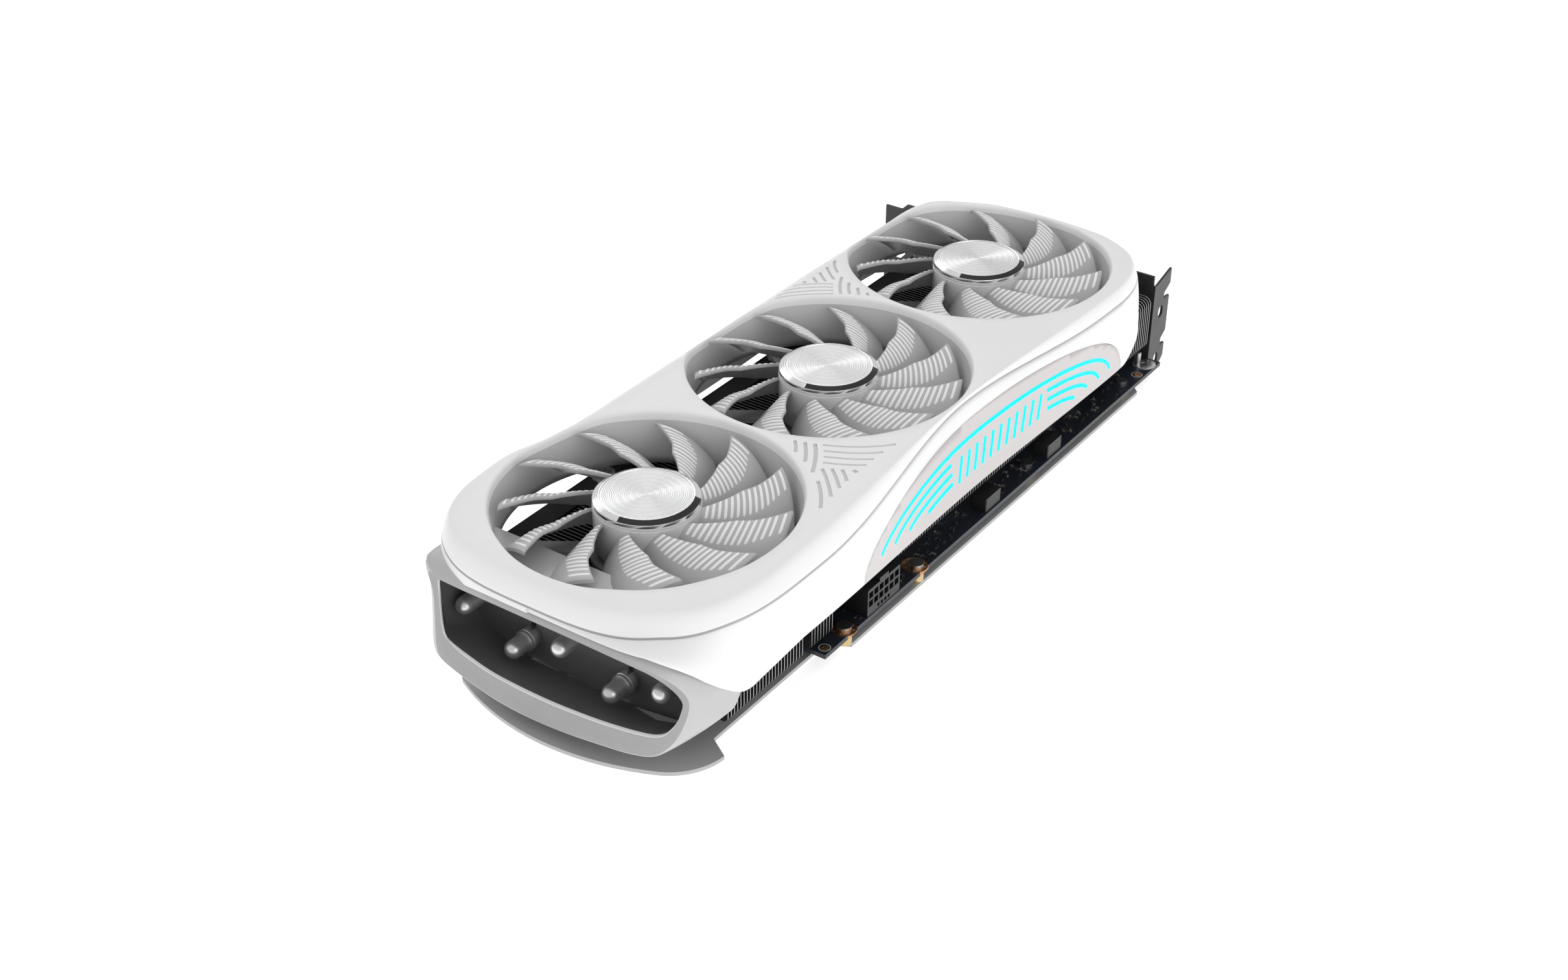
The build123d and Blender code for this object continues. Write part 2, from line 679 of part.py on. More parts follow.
with BuildPart() as end_frame:
    add(frame_outline)
    extrude(amount=END_BACK_X - TAIL_X + 1, dir=(1, 0, 0))
    add(frame_plan, mode=Mode.INTERSECT)
    add(end_hollow.part, mode=Mode.SUBTRACT)
    add(shroud_side_frame.part, mode=Mode.SUBTRACT)
    # clear of the tail fan, its duct and its spider
    with Locations((FANS["fan_tail"], FAN_Y, SPIDER_Z - 0.6)):
        Cylinder(END_CLEAR_R, 30, align=UPRIGHT, mode=Mode.SUBTRACT)
    for k, z in PIPE_ROWS:
        with BuildSketch(Plane.YZ.offset(END_WALL_X - END_WALL)):
            with Locations((FAN_Y + k * PIPE_PITCH, z)):
                Circle(PIPE_R)
        extrude(amount=3 * END_WALL, dir=(1, 0, 0), mode=Mode.SUBTRACT)
    # slits between the wall and the floor
    with Locations(*[(END_WALL_X, y, 12.2) for y in (-29, -9, 11)]):
        Box(2 * END_WALL, 12, 2.4, mode=Mode.SUBTRACT)
save(end_frame.part, "end_frame")

# ---------------------------------------------------------------- board
board_io_length = BOARD_IO_X - BOARD_TAIL_X
with BuildPart() as pcb:
    with BuildSketch(Plane.XY.offset(BOARD_BOTTOM_Z)):
        with BuildLine():
            Polyline(
                (BOARD_TAIL_X, BOARD_SIDE_Y),
                (BOARD_IO_X, BOARD_SIDE_Y),
                (BOARD_IO_X, BOARD_FAR_Y),
                (FINGER_IO_X, BOARD_FAR_Y),
                (FINGER_IO_X, FINGER_Y - 1),
                (FINGER_IO_X - 1, FINGER_Y),
                (FINGER_TAIL_X + 1, FINGER_Y),
                (FINGER_TAIL_X, FINGER_Y - 1),
                (FINGER_TAIL_X, BOARD_FAR_Y),
                (BOARD_TAIL_X, BOARD_FAR_Y),
                close=True,
            )
        make_face()
        with Locations((KEY_X, FINGER_Y)):
            Rectangle(KEY_WIDTH, 15, mode=Mode.SUBTRACT)
        with Locations(*BOARD_SCREWS):
            Circle(1.4, mode=Mode.SUBTRACT)
        with Locations(*[(COLD_PLATE_X + x, FAN_Y + y) for x in (-32, 32) for y in (-32, 32)]):
            Circle(1.3, mode=Mode.SUBTRACT)
        with Locations(*BACK_SCREWS):
            Circle(1.3, mode=Mode.SUBTRACT)
        with Locations(IO_HOLE):
            Circle(1.6, mode=Mode.SUBTRACT)
    extrude(amount=BOARD_TOP_Z - BOARD_BOTTOM_Z)
save(pcb.part, "pcb")


def boxes(name, places, size, z, corner=0):
    """A group of equal blocks standing on height z."""
    blocks = []
    for x, y in places:
        with BuildPart() as block:
            with Locations((x, y, z)):
                Box(*size, align=UPRIGHT)
            if corner:
                fillet(block.edges().filter_by(Axis.Z), corner)
        blocks.append(block.part)
    save(group(blocks), name)


boxes("gpu_package", [(GPU_X, FAN_Y)], (GPU_SIZE, GPU_SIZE, PACKAGE_TOP_Z - BOARD_TOP_Z), BOARD_TOP_Z, 1)
boxes("gpu_die", [(GPU_X, FAN_Y)], (DIE_LENGTH, DIE_WIDTH, DIE_TOP_Z - PACKAGE_TOP_Z), PACKAGE_TOP_Z, 0.3)
memory = [(GPU_X + x, FAN_Y + y) for x in (-32, 32) for y in (-16, 0, 16)]
memory += [(GPU_X + x, FAN_Y - 30) for x in (-9, 9)]
boxes("memory_chips", memory, (12, 14, 1.2), BOARD_TOP_Z, 0.3)
boxes("thermal_pads", memory, (11, 13, DIE_TOP_Z - PACKAGE_TOP_Z), PACKAGE_TOP_Z)
chokes = [(x, y) for x in (66, 96) for y in (-44, -30, -16, -2, 12)]
boxes("chokes", chokes, (8, 9, 5), BOARD_TOP_Z, 0.8)
boxes("mosfets", [(x + 10, y) for x, y in chokes], (6, 6, 1.1), BOARD_TOP_Z, 0.2)

strips = []
for start_x, end_x in ((FINGER_TAIL_X + 0.8, KEY_X - 1.6), (KEY_X + 1.6, FINGER_IO_X - 0.8)):
    for z in (BOARD_TOP_Z, BOARD_BOTTOM_Z - FINGER_FILM):
        with BuildPart() as strip:
            with Locations(((start_x + end_x) / 2, FINGER_Y - 3.4, z)):
                Box(end_x - start_x, 4.2, FINGER_FILM, align=UPRIGHT)
        strips.append(strip.part)
save(group(strips), "gold_fingers")

capacitors = []
for x, y in [(82.8, y) for y in (-44, -30, -16, -2, 12)] + [(-70, y) for y in (0, 12, 24)]:
    with BuildPart() as can:
        with Locations((x, y, BOARD_TOP_Z)):
            Cylinder(3.1, 6.5, align=UPRIGHT)
        chamfer(can.edges().group_by(Axis.Z)[-1], 0.4)
    capacitors.append(can.part)
save(group(capacitors), "capacitors")

with BuildPart() as power_connector:
    face_y = CONNECTOR_FACE_Y
    with Locations((CONNECTOR_X, face_y + CONNECTOR_DEPTH / 2, BOARD_TOP_Z)):
        Box(CONNECTOR_WIDTH, CONNECTOR_DEPTH, CONNECTOR_HEIGHT, align=UPRIGHT)
    fillet(power_connector.edges().filter_by(Axis.Y), 0.6)
    # latch rib on top
    with Locations((CONNECTOR_X, face_y + 3.5, BOARD_TOP_Z + CONNECTOR_HEIGHT)):
        Box(5, 7, 1.2, align=UPRIGHT)
    cells = [(x, z) for x in CELL_X for z in POWER_CELL_Z] + [(x, SENSE_CELL_Z) for x in SENSE_CELL_X]
    with BuildSketch(Plane.XZ.offset(-face_y)):
        with Locations(*[(x, z) for x in CELL_X for z in POWER_CELL_Z]):
            Rectangle(CELL_SIZE, CELL_SIZE)
        with Locations(*[(x, SENSE_CELL_Z) for x in SENSE_CELL_X]):
            Rectangle(1.3, 1.3)
    extrude(amount=-10, mode=Mode.SUBTRACT)
save(power_connector.part, "power_connector")

pins = []
for x, z, width in [(x, z, 0.9) for x in CELL_X for z in POWER_CELL_Z] + [
    (x, SENSE_CELL_Z, 0.5) for x in SENSE_CELL_X
]:
    with BuildPart() as pin:
        with Locations((x, CONNECTOR_FACE_Y + 10 - 3.6, z)):
            Box(width, 7.2, width)
        chamfer(pin.faces().sort_by(Axis.Y)[0].edges(), width / 4)
    pins.append(pin.part)
save(group(pins), "power_pins")

boxes("fan_headers", [(-62, 36), (-48, 36)], (10, 5, 6), BOARD_TOP_Z, 0.3)
boxes("power_stage_blocks", [(21, -55.6), (63.8, -55.6)], (9.7, 6, 5.5), BOARD_TOP_Z, 0.4)

board_screws = [
    headed_screw(x, y, BOARD_TOP_Z, 1.4, 2.5, 1.3, BOARD_TOP_Z - BACKPLATE_THICKNESS - 0.4, True)
    for x, y in BOARD_SCREWS
]
save(group(board_screws), "board_screws")

standoffs = []
for x, y in BACK_SCREWS + BOARD_SCREWS:
    with BuildPart() as standoff:
        with Locations((x, y, BACKPLATE_THICKNESS)):
            Cylinder(2.6, BOARD_BOTTOM_Z - BACKPLATE_THICKNESS, align=UPRIGHT)
            Cylinder(1.3, BOARD_BOTTOM_Z - BACKPLATE_THICKNESS, align=UPRIGHT, mode=Mode.SUBTRACT)
    standoffs.append(standoff.part)
save(group(standoffs), "standoffs")

with BuildPart() as io_post:
    with Locations((139.2, -52.8, BOARD_TOP_Z)):
        Cylinder(1.2, 5.4, align=UPRIGHT)
    chamfer(io_post.edges().group_by(Axis.Z)[-1], 0.3)
save(io_post.part, "io_post")

# ---------------------------------------------------------------- back
with BuildPart() as cross_brace:
    with BuildSketch(Plane.XY.offset(BOARD_BOTTOM_Z - 1.4)):
        with Locations((COLD_PLATE_X, FAN_Y)):
            Rectangle(36, 36)
        corners = [(COLD_PLATE_X + x, FAN_Y + y) for x in (-32, 32) for y in (-32, 32)]
        for x, y in corners:
            with BuildLine():
                arm = Line((COLD_PLATE_X, FAN_Y), (x, y))
            trace(lines=arm, line_width=9)
            with Locations((x, y)):
                Circle(4.6)
        with Locations((COLD_PLATE_X, FAN_Y)):
            Rectangle(20, 20, mode=Mode.SUBTRACT)
        with Locations(*corners):
            Circle(1.25, mode=Mode.SUBTRACT)
    extrude(amount=1.2)
save(cross_brace.part, "cross_brace")

brace_bottom = BOARD_BOTTOM_Z - 1.4
brace_screws = [headed_screw(x, y, brace_bottom, 1.5, 2.6, 1.25, 8.5, False) for x, y in corners]
save(group(brace_screws), "brace_screws")

with BuildPart() as backplate:
    with BuildSketch():
        with BuildLine():
            tail_arc = ThreePointArc((-150.5, -47.6), (TAIL_X, -9.4), (-150.5, 28.8))
            hook_arc = ThreePointArc((-133.8, -58.6), (-144.0, -55.0), tail_arc @ 0)
            Polyline(
                tail_arc @ 1,
                (-145.0, 34.6),
                (-132, 37.7),
                (BOARD_TAIL_X - 6, 37.7),
                (BOARD_TAIL_X, 43.6),
                (133.0, 43.6),
                (133.0, -54.6),
                (129.0, -58.6),
                (-66.2, -58.6),
                (-70.0, -51.3),
                (-129.2, -51.3),
                hook_arc @ 0,
            )
        make_face()
        with Locations(*BACK_SCREWS):
            Circle(1.3, mode=Mode.SUBTRACT)
        # the tail fan blows through this field of slots
        with Locations((FANS["fan_tail"], FAN_Y)):
            with GridLocations(7.0, 0, 6, 1):
                SlotOverall(66, 3.6, rotation=90, mode=Mode.SUBTRACT)
        # window around the brace
        with Locations((COLD_PLATE_X, FAN_Y)):
            RectangleRounded(78, 78, 8, mode=Mode.SUBTRACT)
    extrude(amount=BACKPLATE_THICKNESS)
save(backplate.part, "backplate")

back_screws = []
for x, y in BACK_SCREWS:
    with BuildPart() as screw:
        with Locations((x, y, 0.3)):
            Cylinder(1.3, BOARD_TOP_Z - 0.3, align=UPRIGHT)
        with Locations((x, y, BOARD_TOP_Z)):
            Cylinder(2.2, 0.9, align=UPRIGHT)
    back_screws.append(screw.part)
save(group(back_screws), "backplate_screws")

# ---------------------------------------------------------------- I/O end
bracket_inner_x = BRACKET_FACE_X - BRACKET_THICKNESS
with BuildPart() as io_bracket:
    with BuildSketch(Plane.YZ.offset(bracket_inner_x)):
        with BuildLine():
            Polyline(
                (BRACKET_SIDE_Y, BRACKET_BOTTOM_Z),
                (BRACKET_SHOULDER_Y, BRACKET_BOTTOM_Z),
                (BRACKET_SHOULDER_Y + 2.6, BRACKET_BOTTOM_Z + 4.0),
                (BRACKET_TONGUE_Y, BRACKET_BOTTOM_Z + 4.0),
                (BRACKET_TONGUE_Y, BRACKET_BOTTOM_Z + 14.2),
                (BRACKET_SHOULDER_Y + 2.6, BRACKET_BOTTOM_Z + 14.2),
                (BRACKET_SHOULDER_Y, BRACKET_BOTTOM_Z + 17.0),
                (BRACKET_SHOULDER_Y, BRACKET_TOP_Z - 16.0),
                (BRACKET_SHOULDER_Y + 2.6, BRACKET_TOP_Z - 12.7),
                (BRACKET_TONGUE_Y, BRACKET_TOP_Z - 12.7),
                (BRACKET_TONGUE_Y, BRACKET_TOP_Z - 2.5),
                (BRACKET_SHOULDER_Y + 2.6, BRACKET_TOP_Z - 2.5),
                (BRACKET_SHOULDER_Y, BRACKET_TOP_Z),
                (BRACKET_SIDE_Y + BRACKET_THICKNESS, BRACKET_TOP_Z),
                (BRACKET_SIDE_Y + BRACKET_THICKNESS, TAB_ROOT_TOP_Z),
                (BRACKET_SIDE_Y, TAB_ROOT_TOP_Z),
                close=True,
            )
        make_face()
        with Locations(*[(y, PORT_Z) for y in DISPLAYPORT_Y]):
            Rectangle(*DISPLAYPORT_SIZE, mode=Mode.SUBTRACT)
        with Locations((HDMI_Y, PORT_Z)):
            Rectangle(*HDMI_SIZE, mode=Mode.SUBTRACT)
        with Locations((0, 30.5)):
            with GridLocations(5.4, 0, 17, 1):
                SlotOverall(12.0, 3.2, rotation=90, mode=Mode.SUBTRACT)
    extrude(amount=BRACKET_THICKNESS)
    # the tab that the case screws hold, notched along its outer edge
    with BuildSketch(Plane.XZ.offset(-BRACKET_SIDE_Y)):
        with BuildLine():
            Polyline(
                (bracket_inner_x, 1.2),
                (bracket_inner_x, TAB_ROOT_TOP_Z),
                (bracket_inner_x + 2.0, TAB_ROOT_TOP_Z),
                (TAB_END_X, BRACKET_TOP_Z - 1.1),
                (TAB_END_X, 33.5),
                (TAB_END_X - 4.5, 31.0),
                (TAB_END_X - 4.5, 28.4),
                (TAB_END_X, 28.4),
                (TAB_END_X, 13.4),
                (TAB_END_X - 3.6, 11.0),
                (TAB_END_X - 3.6, 8.0),
                (TAB_END_X, 8.0),
                (TAB_END_X, 2.6),
                (TAB_END_X - 2.5, 0.2),
                (bracket_inner_x + 2.5, 0.2),
                close=True,
            )
        make_face()
        with Locations(*[(TAB_SLOT_X, z) for z in TAB_SLOT_Z]):
            SlotOverall(TAB_SLOT_LENGTH, 2 * TAB_SLOT_R, rotation=90, mode=Mode.SUBTRACT)
    extrude(amount=-BRACKET_THICKNESS)
save(io_bracket.part, "io_bracket")


def display_socket(y, width, height):
    """A display socket: an open shell on the board with a contact tongue inside."""
    front_x = BRACKET_FACE_X
    with BuildPart() as socket:
        with Locations((front_x - PORT_DEPTH / 2, y, PORT_Z)):
            Box(PORT_DEPTH, width, height)
        with Locations((front_x, y, PORT_Z)):
            Box(2 * PORT_DEPTH - 4, width - 1.2, height - 1.2, mode=Mode.SUBTRACT)
        with Locations((front_x - PORT_DEPTH + 7, y, PORT_Z)):
            Box(10.4, width - 4.4, 1.4)
    return socket.part


save(group([display_socket(y, *DISPLAYPORT_SIZE) for y in DISPLAYPORT_Y]), "displayport_sockets")
save(display_socket(HDMI_Y, *HDMI_SIZE), "hdmi_socket")
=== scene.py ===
import json
import math
import random

import bmesh
import bpy
import numpy as np
from mathutils import Matrix, Vector
from mathutils.geometry import delaunay_2d_cdt


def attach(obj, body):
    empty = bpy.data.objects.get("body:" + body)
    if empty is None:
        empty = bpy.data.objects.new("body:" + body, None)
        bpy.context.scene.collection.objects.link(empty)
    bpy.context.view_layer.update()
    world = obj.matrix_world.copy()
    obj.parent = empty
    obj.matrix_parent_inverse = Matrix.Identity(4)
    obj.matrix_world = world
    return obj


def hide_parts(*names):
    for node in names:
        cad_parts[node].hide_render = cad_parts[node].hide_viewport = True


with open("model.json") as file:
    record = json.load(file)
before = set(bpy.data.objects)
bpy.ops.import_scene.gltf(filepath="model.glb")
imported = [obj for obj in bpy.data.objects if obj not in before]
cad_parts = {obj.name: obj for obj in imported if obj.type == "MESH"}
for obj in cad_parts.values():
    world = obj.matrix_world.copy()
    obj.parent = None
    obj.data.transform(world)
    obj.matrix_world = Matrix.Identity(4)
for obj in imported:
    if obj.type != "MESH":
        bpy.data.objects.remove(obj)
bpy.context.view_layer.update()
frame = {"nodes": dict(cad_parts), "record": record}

# Shapes are in millimetres in the row frame, and MM turns them into metres. Materials, the floor, the
# lights and the camera are in metres.
MM = 0.001
FAN_Y = -7.8
FANS = {"fan_tail": -103.1, "fan_middle": -5.5, "fan_io": 92.1}
TAIL_FAN_X, IO_FAN_X = FANS["fan_tail"], FANS["fan_io"]
scene = bpy.context.scene
random.seed(11)


def new_object(name, data):
    obj = bpy.data.objects.new(name, data)
    scene.collection.objects.link(obj)
    return obj


# -------------------- materials
class Nodes:
    """A small helper that builds one procedural material's node tree."""

    def __init__(self, name, colour, roughness, metallic=0.0):
        self.material = bpy.data.materials.new(name)
        self.material.use_nodes = True
        self.tree = self.material.node_tree
        self.shader = self.tree.nodes["Principled BSDF"]
        self.shader.inputs["Base Color"].default_value = (*colour, 1)
        self.shader.inputs["Roughness"].default_value = roughness
        self.shader.inputs["Metallic"].default_value = metallic
        self.place = self.tree.nodes.new("ShaderNodeTexCoord").outputs["Object"]

    def node(self, kind, **settings):
        made = self.tree.nodes.new(kind)
        for key, value in settings.items():
            setattr(made, key, value)
        return made

    def link(self, a, b):
        self.tree.links.new(a, b)

    def stretch(self, scale, turn=(0, 0, 0)):
        mapping = self.node("ShaderNodeMapping")
        mapping.inputs["Scale"].default_value = scale
        mapping.inputs["Rotation"].default_value = turn
        self.link(self.place, mapping.inputs["Vector"])
        return mapping.outputs["Vector"]

    def noise(self, scale, detail=3.0, where=None, rough=0.55):
        made = self.node("ShaderNodeTexNoise")
        made.inputs["Scale"].default_value = scale
        made.inputs["Detail"].default_value = detail
        made.inputs["Roughness"].default_value = rough
        self.link(where or self.place, made.inputs["Vector"])
        return made.outputs["Fac"]

    def ramp(self, fac, stops):
        made = self.node("ShaderNodeValToRGB")
        elements = made.color_ramp.elements
        while len(elements) < len(stops):
            elements.new(0.5)
        for element, (position, colour) in zip(elements, stops):
            element.position = position
            element.color = (*colour, 1)
        self.link(fac, made.inputs["Fac"])
        return made.outputs["Color"]

    def mix(self, fac, a, b, mode="MIX"):
        made = self.node("ShaderNodeMix", data_type="RGBA", blend_type=mode)
        for socket, value in ((made.inputs[0], fac), (made.inputs[6], a), (made.inputs[7], b)):
            if isinstance(value, (int, float)):
                socket.default_value = value
            elif isinstance(value, tuple):
                socket.default_value = (*value, 1)
            else:
                self.link(value, socket)
        return made.outputs[2]

    def spread(self, fac, low, high):
        made = self.node("ShaderNodeMapRange")
        made.inputs["To Min"].default_value = low
        made.inputs["To Max"].default_value = high
        self.link(fac, made.inputs["Value"])
        return made.outputs["Result"]

    def bump(self, heights):
        """heights: (height output, strength, distance in metres), chained."""
        normal = None
        for height, strength, distance in heights:
            made = self.node("ShaderNodeBump")
            made.inputs["Strength"].default_value = strength
            made.inputs["Distance"].default_value = distance
            self.link(height, made.inputs["Height"])
            if normal is not None:
                self.link(normal, made.inputs["Normal"])
            normal = made.outputs["Normal"]
        self.link(normal, self.shader.inputs["Normal"])


def shade(colour, factor):
    return tuple(min(1.0, c * factor) for c in colour)


def finish(name, colour, roughness, metallic=0.0, vary=0.06, grain=2200, depth=0.00002, strength=0.25,
           patch=25, stretch=(1, 1, 1), turn=(0, 0, 0), coat=0.0, level=0.5):
    """A solid finish: colour drift at two scales, uneven gloss, and a fine grain."""
    n = Nodes(name, colour, roughness, metallic)
    where = n.stretch(stretch, turn)
    drift = n.noise(patch, 4.0)
    fine = n.noise(grain, 3.0, where)
    base = n.ramp(drift, [(0.3, shade(colour, 1 - vary)), (0.7, shade(colour, 1 + vary))])
    speck = n.ramp(fine, [(0.25, (1 - vary,) * 3), (0.75, (1, 1, 1))])
    n.link(n.mix(1.0, base, speck, "MULTIPLY"), n.shader.inputs["Base Color"])
    n.link(n.spread(n.noise(patch * 6, 3.0, where), roughness * 0.86, min(1, roughness * 1.14)),
           n.shader.inputs["Roughness"])
    n.bump([(fine, strength, depth)])
    n.shader.inputs["Coat Weight"].default_value = coat
    n.shader.inputs["Specular IOR Level"].default_value = level
    return n.material


def turned_metal(name, colour, roughness, pitch, strength):
    """Metal turned on a lathe: fine rings round the piece's own Z axis."""
    n = Nodes(name, colour, roughness, 1.0)
    rings = n.node("ShaderNodeTexWave", wave_type="RINGS", rings_direction="Z", wave_profile="SIN")
    rings.inputs["Scale"].default_value = math.pi / 10 / pitch
    rings.inputs["Distortion"].default_value = 0.6
    rings.inputs["Detail"].default_value = 2.0
    n.link(n.place, rings.inputs["Vector"])
    fine = n.noise(1800, 3.0)
    base = n.ramp(rings.outputs["Fac"], [(0.1, shade(colour, 0.86)), (0.9, shade(colour, 1.06))])
    n.link(n.mix(0.35, base, n.ramp(fine, [(0.3, (0.75,) * 3), (0.7, (1, 1, 1))]), "MULTIPLY"),
           n.shader.inputs["Base Color"])
    n.link(n.spread(n.noise(300), roughness * 0.8, roughness * 1.25), n.shader.inputs["Roughness"])
    n.bump([(rings.outputs["Fac"], strength, pitch * 0.2)])
    return n.material


def circuit_board(name):
    """Solder mask over copper: lighter traces, small vias and a soft gloss."""
    dark = (0.012, 0.015, 0.022)
    n = Nodes(name, dark, 0.32)
    traces = n.node("ShaderNodeTexBrick")
    traces.offset = 0.5
    traces.squash = 1.6
    traces.squash_frequency = 3
    for key, value in (("Scale", 260.0), ("Mortar Size", 0.025), ("Mortar Smooth", 0.2), ("Row Height", 0.22),
                       ("Brick Width", 1.7)):
        traces.inputs[key].default_value = value
    warp = n.noise(70, 1.0)
    bent = n.node("ShaderNodeVectorMath", operation="MULTIPLY_ADD")
    bent.inputs[1].default_value = (0.012, 0.012, 0)
    n.link(warp, bent.inputs[0])
    n.link(n.stretch((1, 1, 1), (0, 0, math.radians(45))), bent.inputs[2])
    n.link(bent.outputs["Vector"], traces.inputs["Vector"])
    cells = n.node("ShaderNodeTexVoronoi", feature="F1")
    cells.inputs["Scale"].default_value = 330.0
    n.link(n.place, cells.inputs["Vector"])
    via = n.ramp(cells.outputs["Distance"], [(0.10, (1, 1, 1)), (0.16, (0, 0, 0))])
    line = n.mix(traces.outputs["Fac"], dark, (0.022, 0.029, 0.042))
    drift = n.ramp(n.noise(40, 4.0), [(0.3, (0.7,) * 3), (0.75, (1.25, 1.25, 1.3))])
    spots = n.mix(via, n.mix(1.0, line, drift, "MULTIPLY"), (0.05, 0.055, 0.065))
    n.link(spots, n.shader.inputs["Base Color"])
    n.link(n.spread(n.noise(400), 0.24, 0.42), n.shader.inputs["Roughness"])
    n.bump([(traces.outputs["Fac"], 0.35, 0.00003), (n.noise(2500), 0.15, 0.00001)])
    return n.material


def lit_guide(name, colour):
    """A lit light guide: the light varies a little along it."""
    n = Nodes(name, colour, 0.35)
    glow = n.ramp(n.noise(90, 2.0), [(0.3, shade(colour, 0.93)), (0.7, colour)])
    n.link(glow, n.shader.inputs["Base Color"])
    n.link(glow, n.shader.inputs["Emission Color"])
    n.shader.inputs["Emission Strength"].default_value = 0.55
    n.shader.inputs["Specular IOR Level"].default_value = 0.1
    n.bump([(n.noise(1500), 0.1, 0.00002)])
    return n.material


WHITE = (0.86, 0.86, 0.86)
FINISHES = (
    finish("shroud_white", WHITE, 0.42, vary=0.015, grain=3000, strength=0.22),
    finish("panel_grey", (0.63, 0.595, 0.595), 0.5, vary=0.02, grain=2600, strength=0.15),
    lit_guide("light_cyan", (0.0, 0.74, 0.86)),
    # the end frame's front face: its one grey paint in a darker tone, painted shade
    finish("end_metal", (0.33, 0.33, 0.335), 0.45, 0.35, vary=0.09, grain=2600, strength=0.35),
    finish("fan_grey", (0.50, 0.50, 0.505), 0.38, vary=0.02, grain=2800, strength=0.15),
    finish("spider_grey", (0.34, 0.34, 0.345), 0.5, vary=0.04, grain=2200),
    turned_metal("cap_aluminium", (0.86, 0.86, 0.87), 0.3, 0.00032, 0.35),
    finish("magnet_dark", (0.05, 0.05, 0.055), 0.55, 0.4, vary=0.12, grain=1800),
    finish("shaft_steel", (0.62, 0.62, 0.63), 0.22, 1.0, vary=0.04, stretch=(0.1, 0.1, 1)),
    finish("bearing_brass", (0.70, 0.53, 0.28), 0.33, 1.0, vary=0.06),
    finish("stator_copper", (0.62, 0.30, 0.16), 0.36, 1.0, vary=0.14, grain=1500, stretch=(1, 1, 6),
           depth=0.0001, strength=0.7),
    finish("screw_steel", (0.55, 0.55, 0.56), 0.3, 1.0, vary=0.05, grain=1600),
    finish("pipe_nickel", (0.74, 0.74, 0.75), 0.33, 0.85, vary=0.06, grain=1500, stretch=(0.12, 1, 1),
           strength=0.2),
    finish("plate_nickel", (0.56, 0.56, 0.57), 0.26, 1.0, vary=0.05, stretch=(0.1, 1, 1)),
    # blackened aluminium sheet with faint upright rolling marks
    finish("fin_dark", (0.012, 0.012, 0.013), 0.55, 0.2, vary=0.15, grain=500, stretch=(1, 1, 0.15), patch=60,
           strength=0.08, level=0.3),
    finish("rail_dark", (0.035, 0.035, 0.038), 0.42, 0.5, vary=0.12, grain=1400),
    circuit_board("board_dark"),
    finish("package_green", (0.03, 0.10, 0.06), 0.4, vary=0.12, grain=1500),
    finish("die_silicon", (0.20, 0.21, 0.24), 0.12, 0.8, vary=0.04, grain=500),
    finish("chip_black", (0.018, 0.018, 0.02), 0.5, vary=0.14, grain=2600, strength=0.4),
    finish("pad_grey", (0.36, 0.37, 0.40), 0.8, vary=0.1, grain=1200, depth=0.0001, strength=0.5),
    finish("choke_grey", (0.13, 0.13, 0.135), 0.6, 0.2, vary=0.12, grain=1500, strength=0.5),
    finish("can_alu", (0.68, 0.68, 0.69), 0.3, 1.0, vary=0.05, stretch=(1, 1, 0.1)),
    finish("contact_gold", (0.90, 0.64, 0.24), 0.24, 1.0, vary=0.05, stretch=(1, 0.1, 1)),
    finish("connector_black", (0.012, 0.012, 0.013), 0.4, vary=0.16, grain=2400),
    finish("connector_white", (0.75, 0.74, 0.70), 0.5, vary=0.04, grain=2200),
    finish("standoff_brass", (0.72, 0.55, 0.29), 0.34, 1.0, vary=0.07),
    finish("brace_steel", (0.42, 0.42, 0.43), 0.38, 1.0, vary=0.07, stretch=(0.15, 1, 1)),
    finish("backplate_grey", (0.47, 0.47, 0.475), 0.46, 0.2, vary=0.04, grain=2600, strength=0.3),
    finish("bracket_dark", (0.045, 0.045, 0.048), 0.42, 0.5, vary=0.12, grain=2000),
    finish("port_steel", (0.5, 0.5, 0.51), 0.3, 1.0, vary=0.06),
)
# by slot name: Blender adds a number where the frame already has a material of that name
MATERIALS = {made.name.split(".")[0]: made for made in FINISHES}
# the fan ducts' inner walls: the shroud's white plastic painted grey, a painted shade
DUCT_PAINTED_SHADE = finish("duct_painted_shade", (0.60, 0.60, 0.605), 0.45, vary=0.02, grain=2600, strength=0.15)
HUB_WHITE = finish("hub_white", (0.74, 0.74, 0.745), 0.36, vary=0.02, grain=2800, strength=0.12)
# the blades' ribs: the blade plastic painted near white, a painted highlight
RIDGE_HIGHLIGHT = finish("ridge_painted_highlight", (0.92, 0.92, 0.92), 0.34, vary=0.015, grain=2600, strength=0.12)
# the seam between the top plate and the side walls: a grey strip of painted shade on the skirt
SEAM_SHADE = finish("seam_painted_shade", (0.40, 0.40, 0.40), 0.6, vary=0.05)
# the slots' floors: the shroud's white plastic painted grey, painted shade in the sunk slots
SLOT_FLOOR_SHADE = finish("slot_floor_painted_shade", (0.66, 0.66, 0.66), 0.5, vary=0.03, grain=2600)
FIN_EDGE = finish("fin_edge", (0.36, 0.36, 0.37), 0.38, 0.6, vary=0.08, grain=1500)
# inside the end frame's opening: its grey paint darkened, painted shade in the recess
END_INSIDE_SHADE = finish("end_inside_painted_shade", (0.18, 0.18, 0.184), 0.5, 0.3, vary=0.08, grain=2400, strength=0.3)
# the end frame's inner lip: a lighter copy of its grey paint, a painted highlight
END_LIP_HIGHLIGHT = finish("end_lip_painted_highlight", (0.60, 0.60, 0.61), 0.4, 0.35, vary=0.04, grain=2600)
# the end frame's outer skin: a lighter copy of its grey paint, painted light
END_SKIN_LIT = finish("end_skin_painted_light", (0.50, 0.50, 0.505), 0.42, 0.3, vary=0.03, grain=2600, strength=0.25)
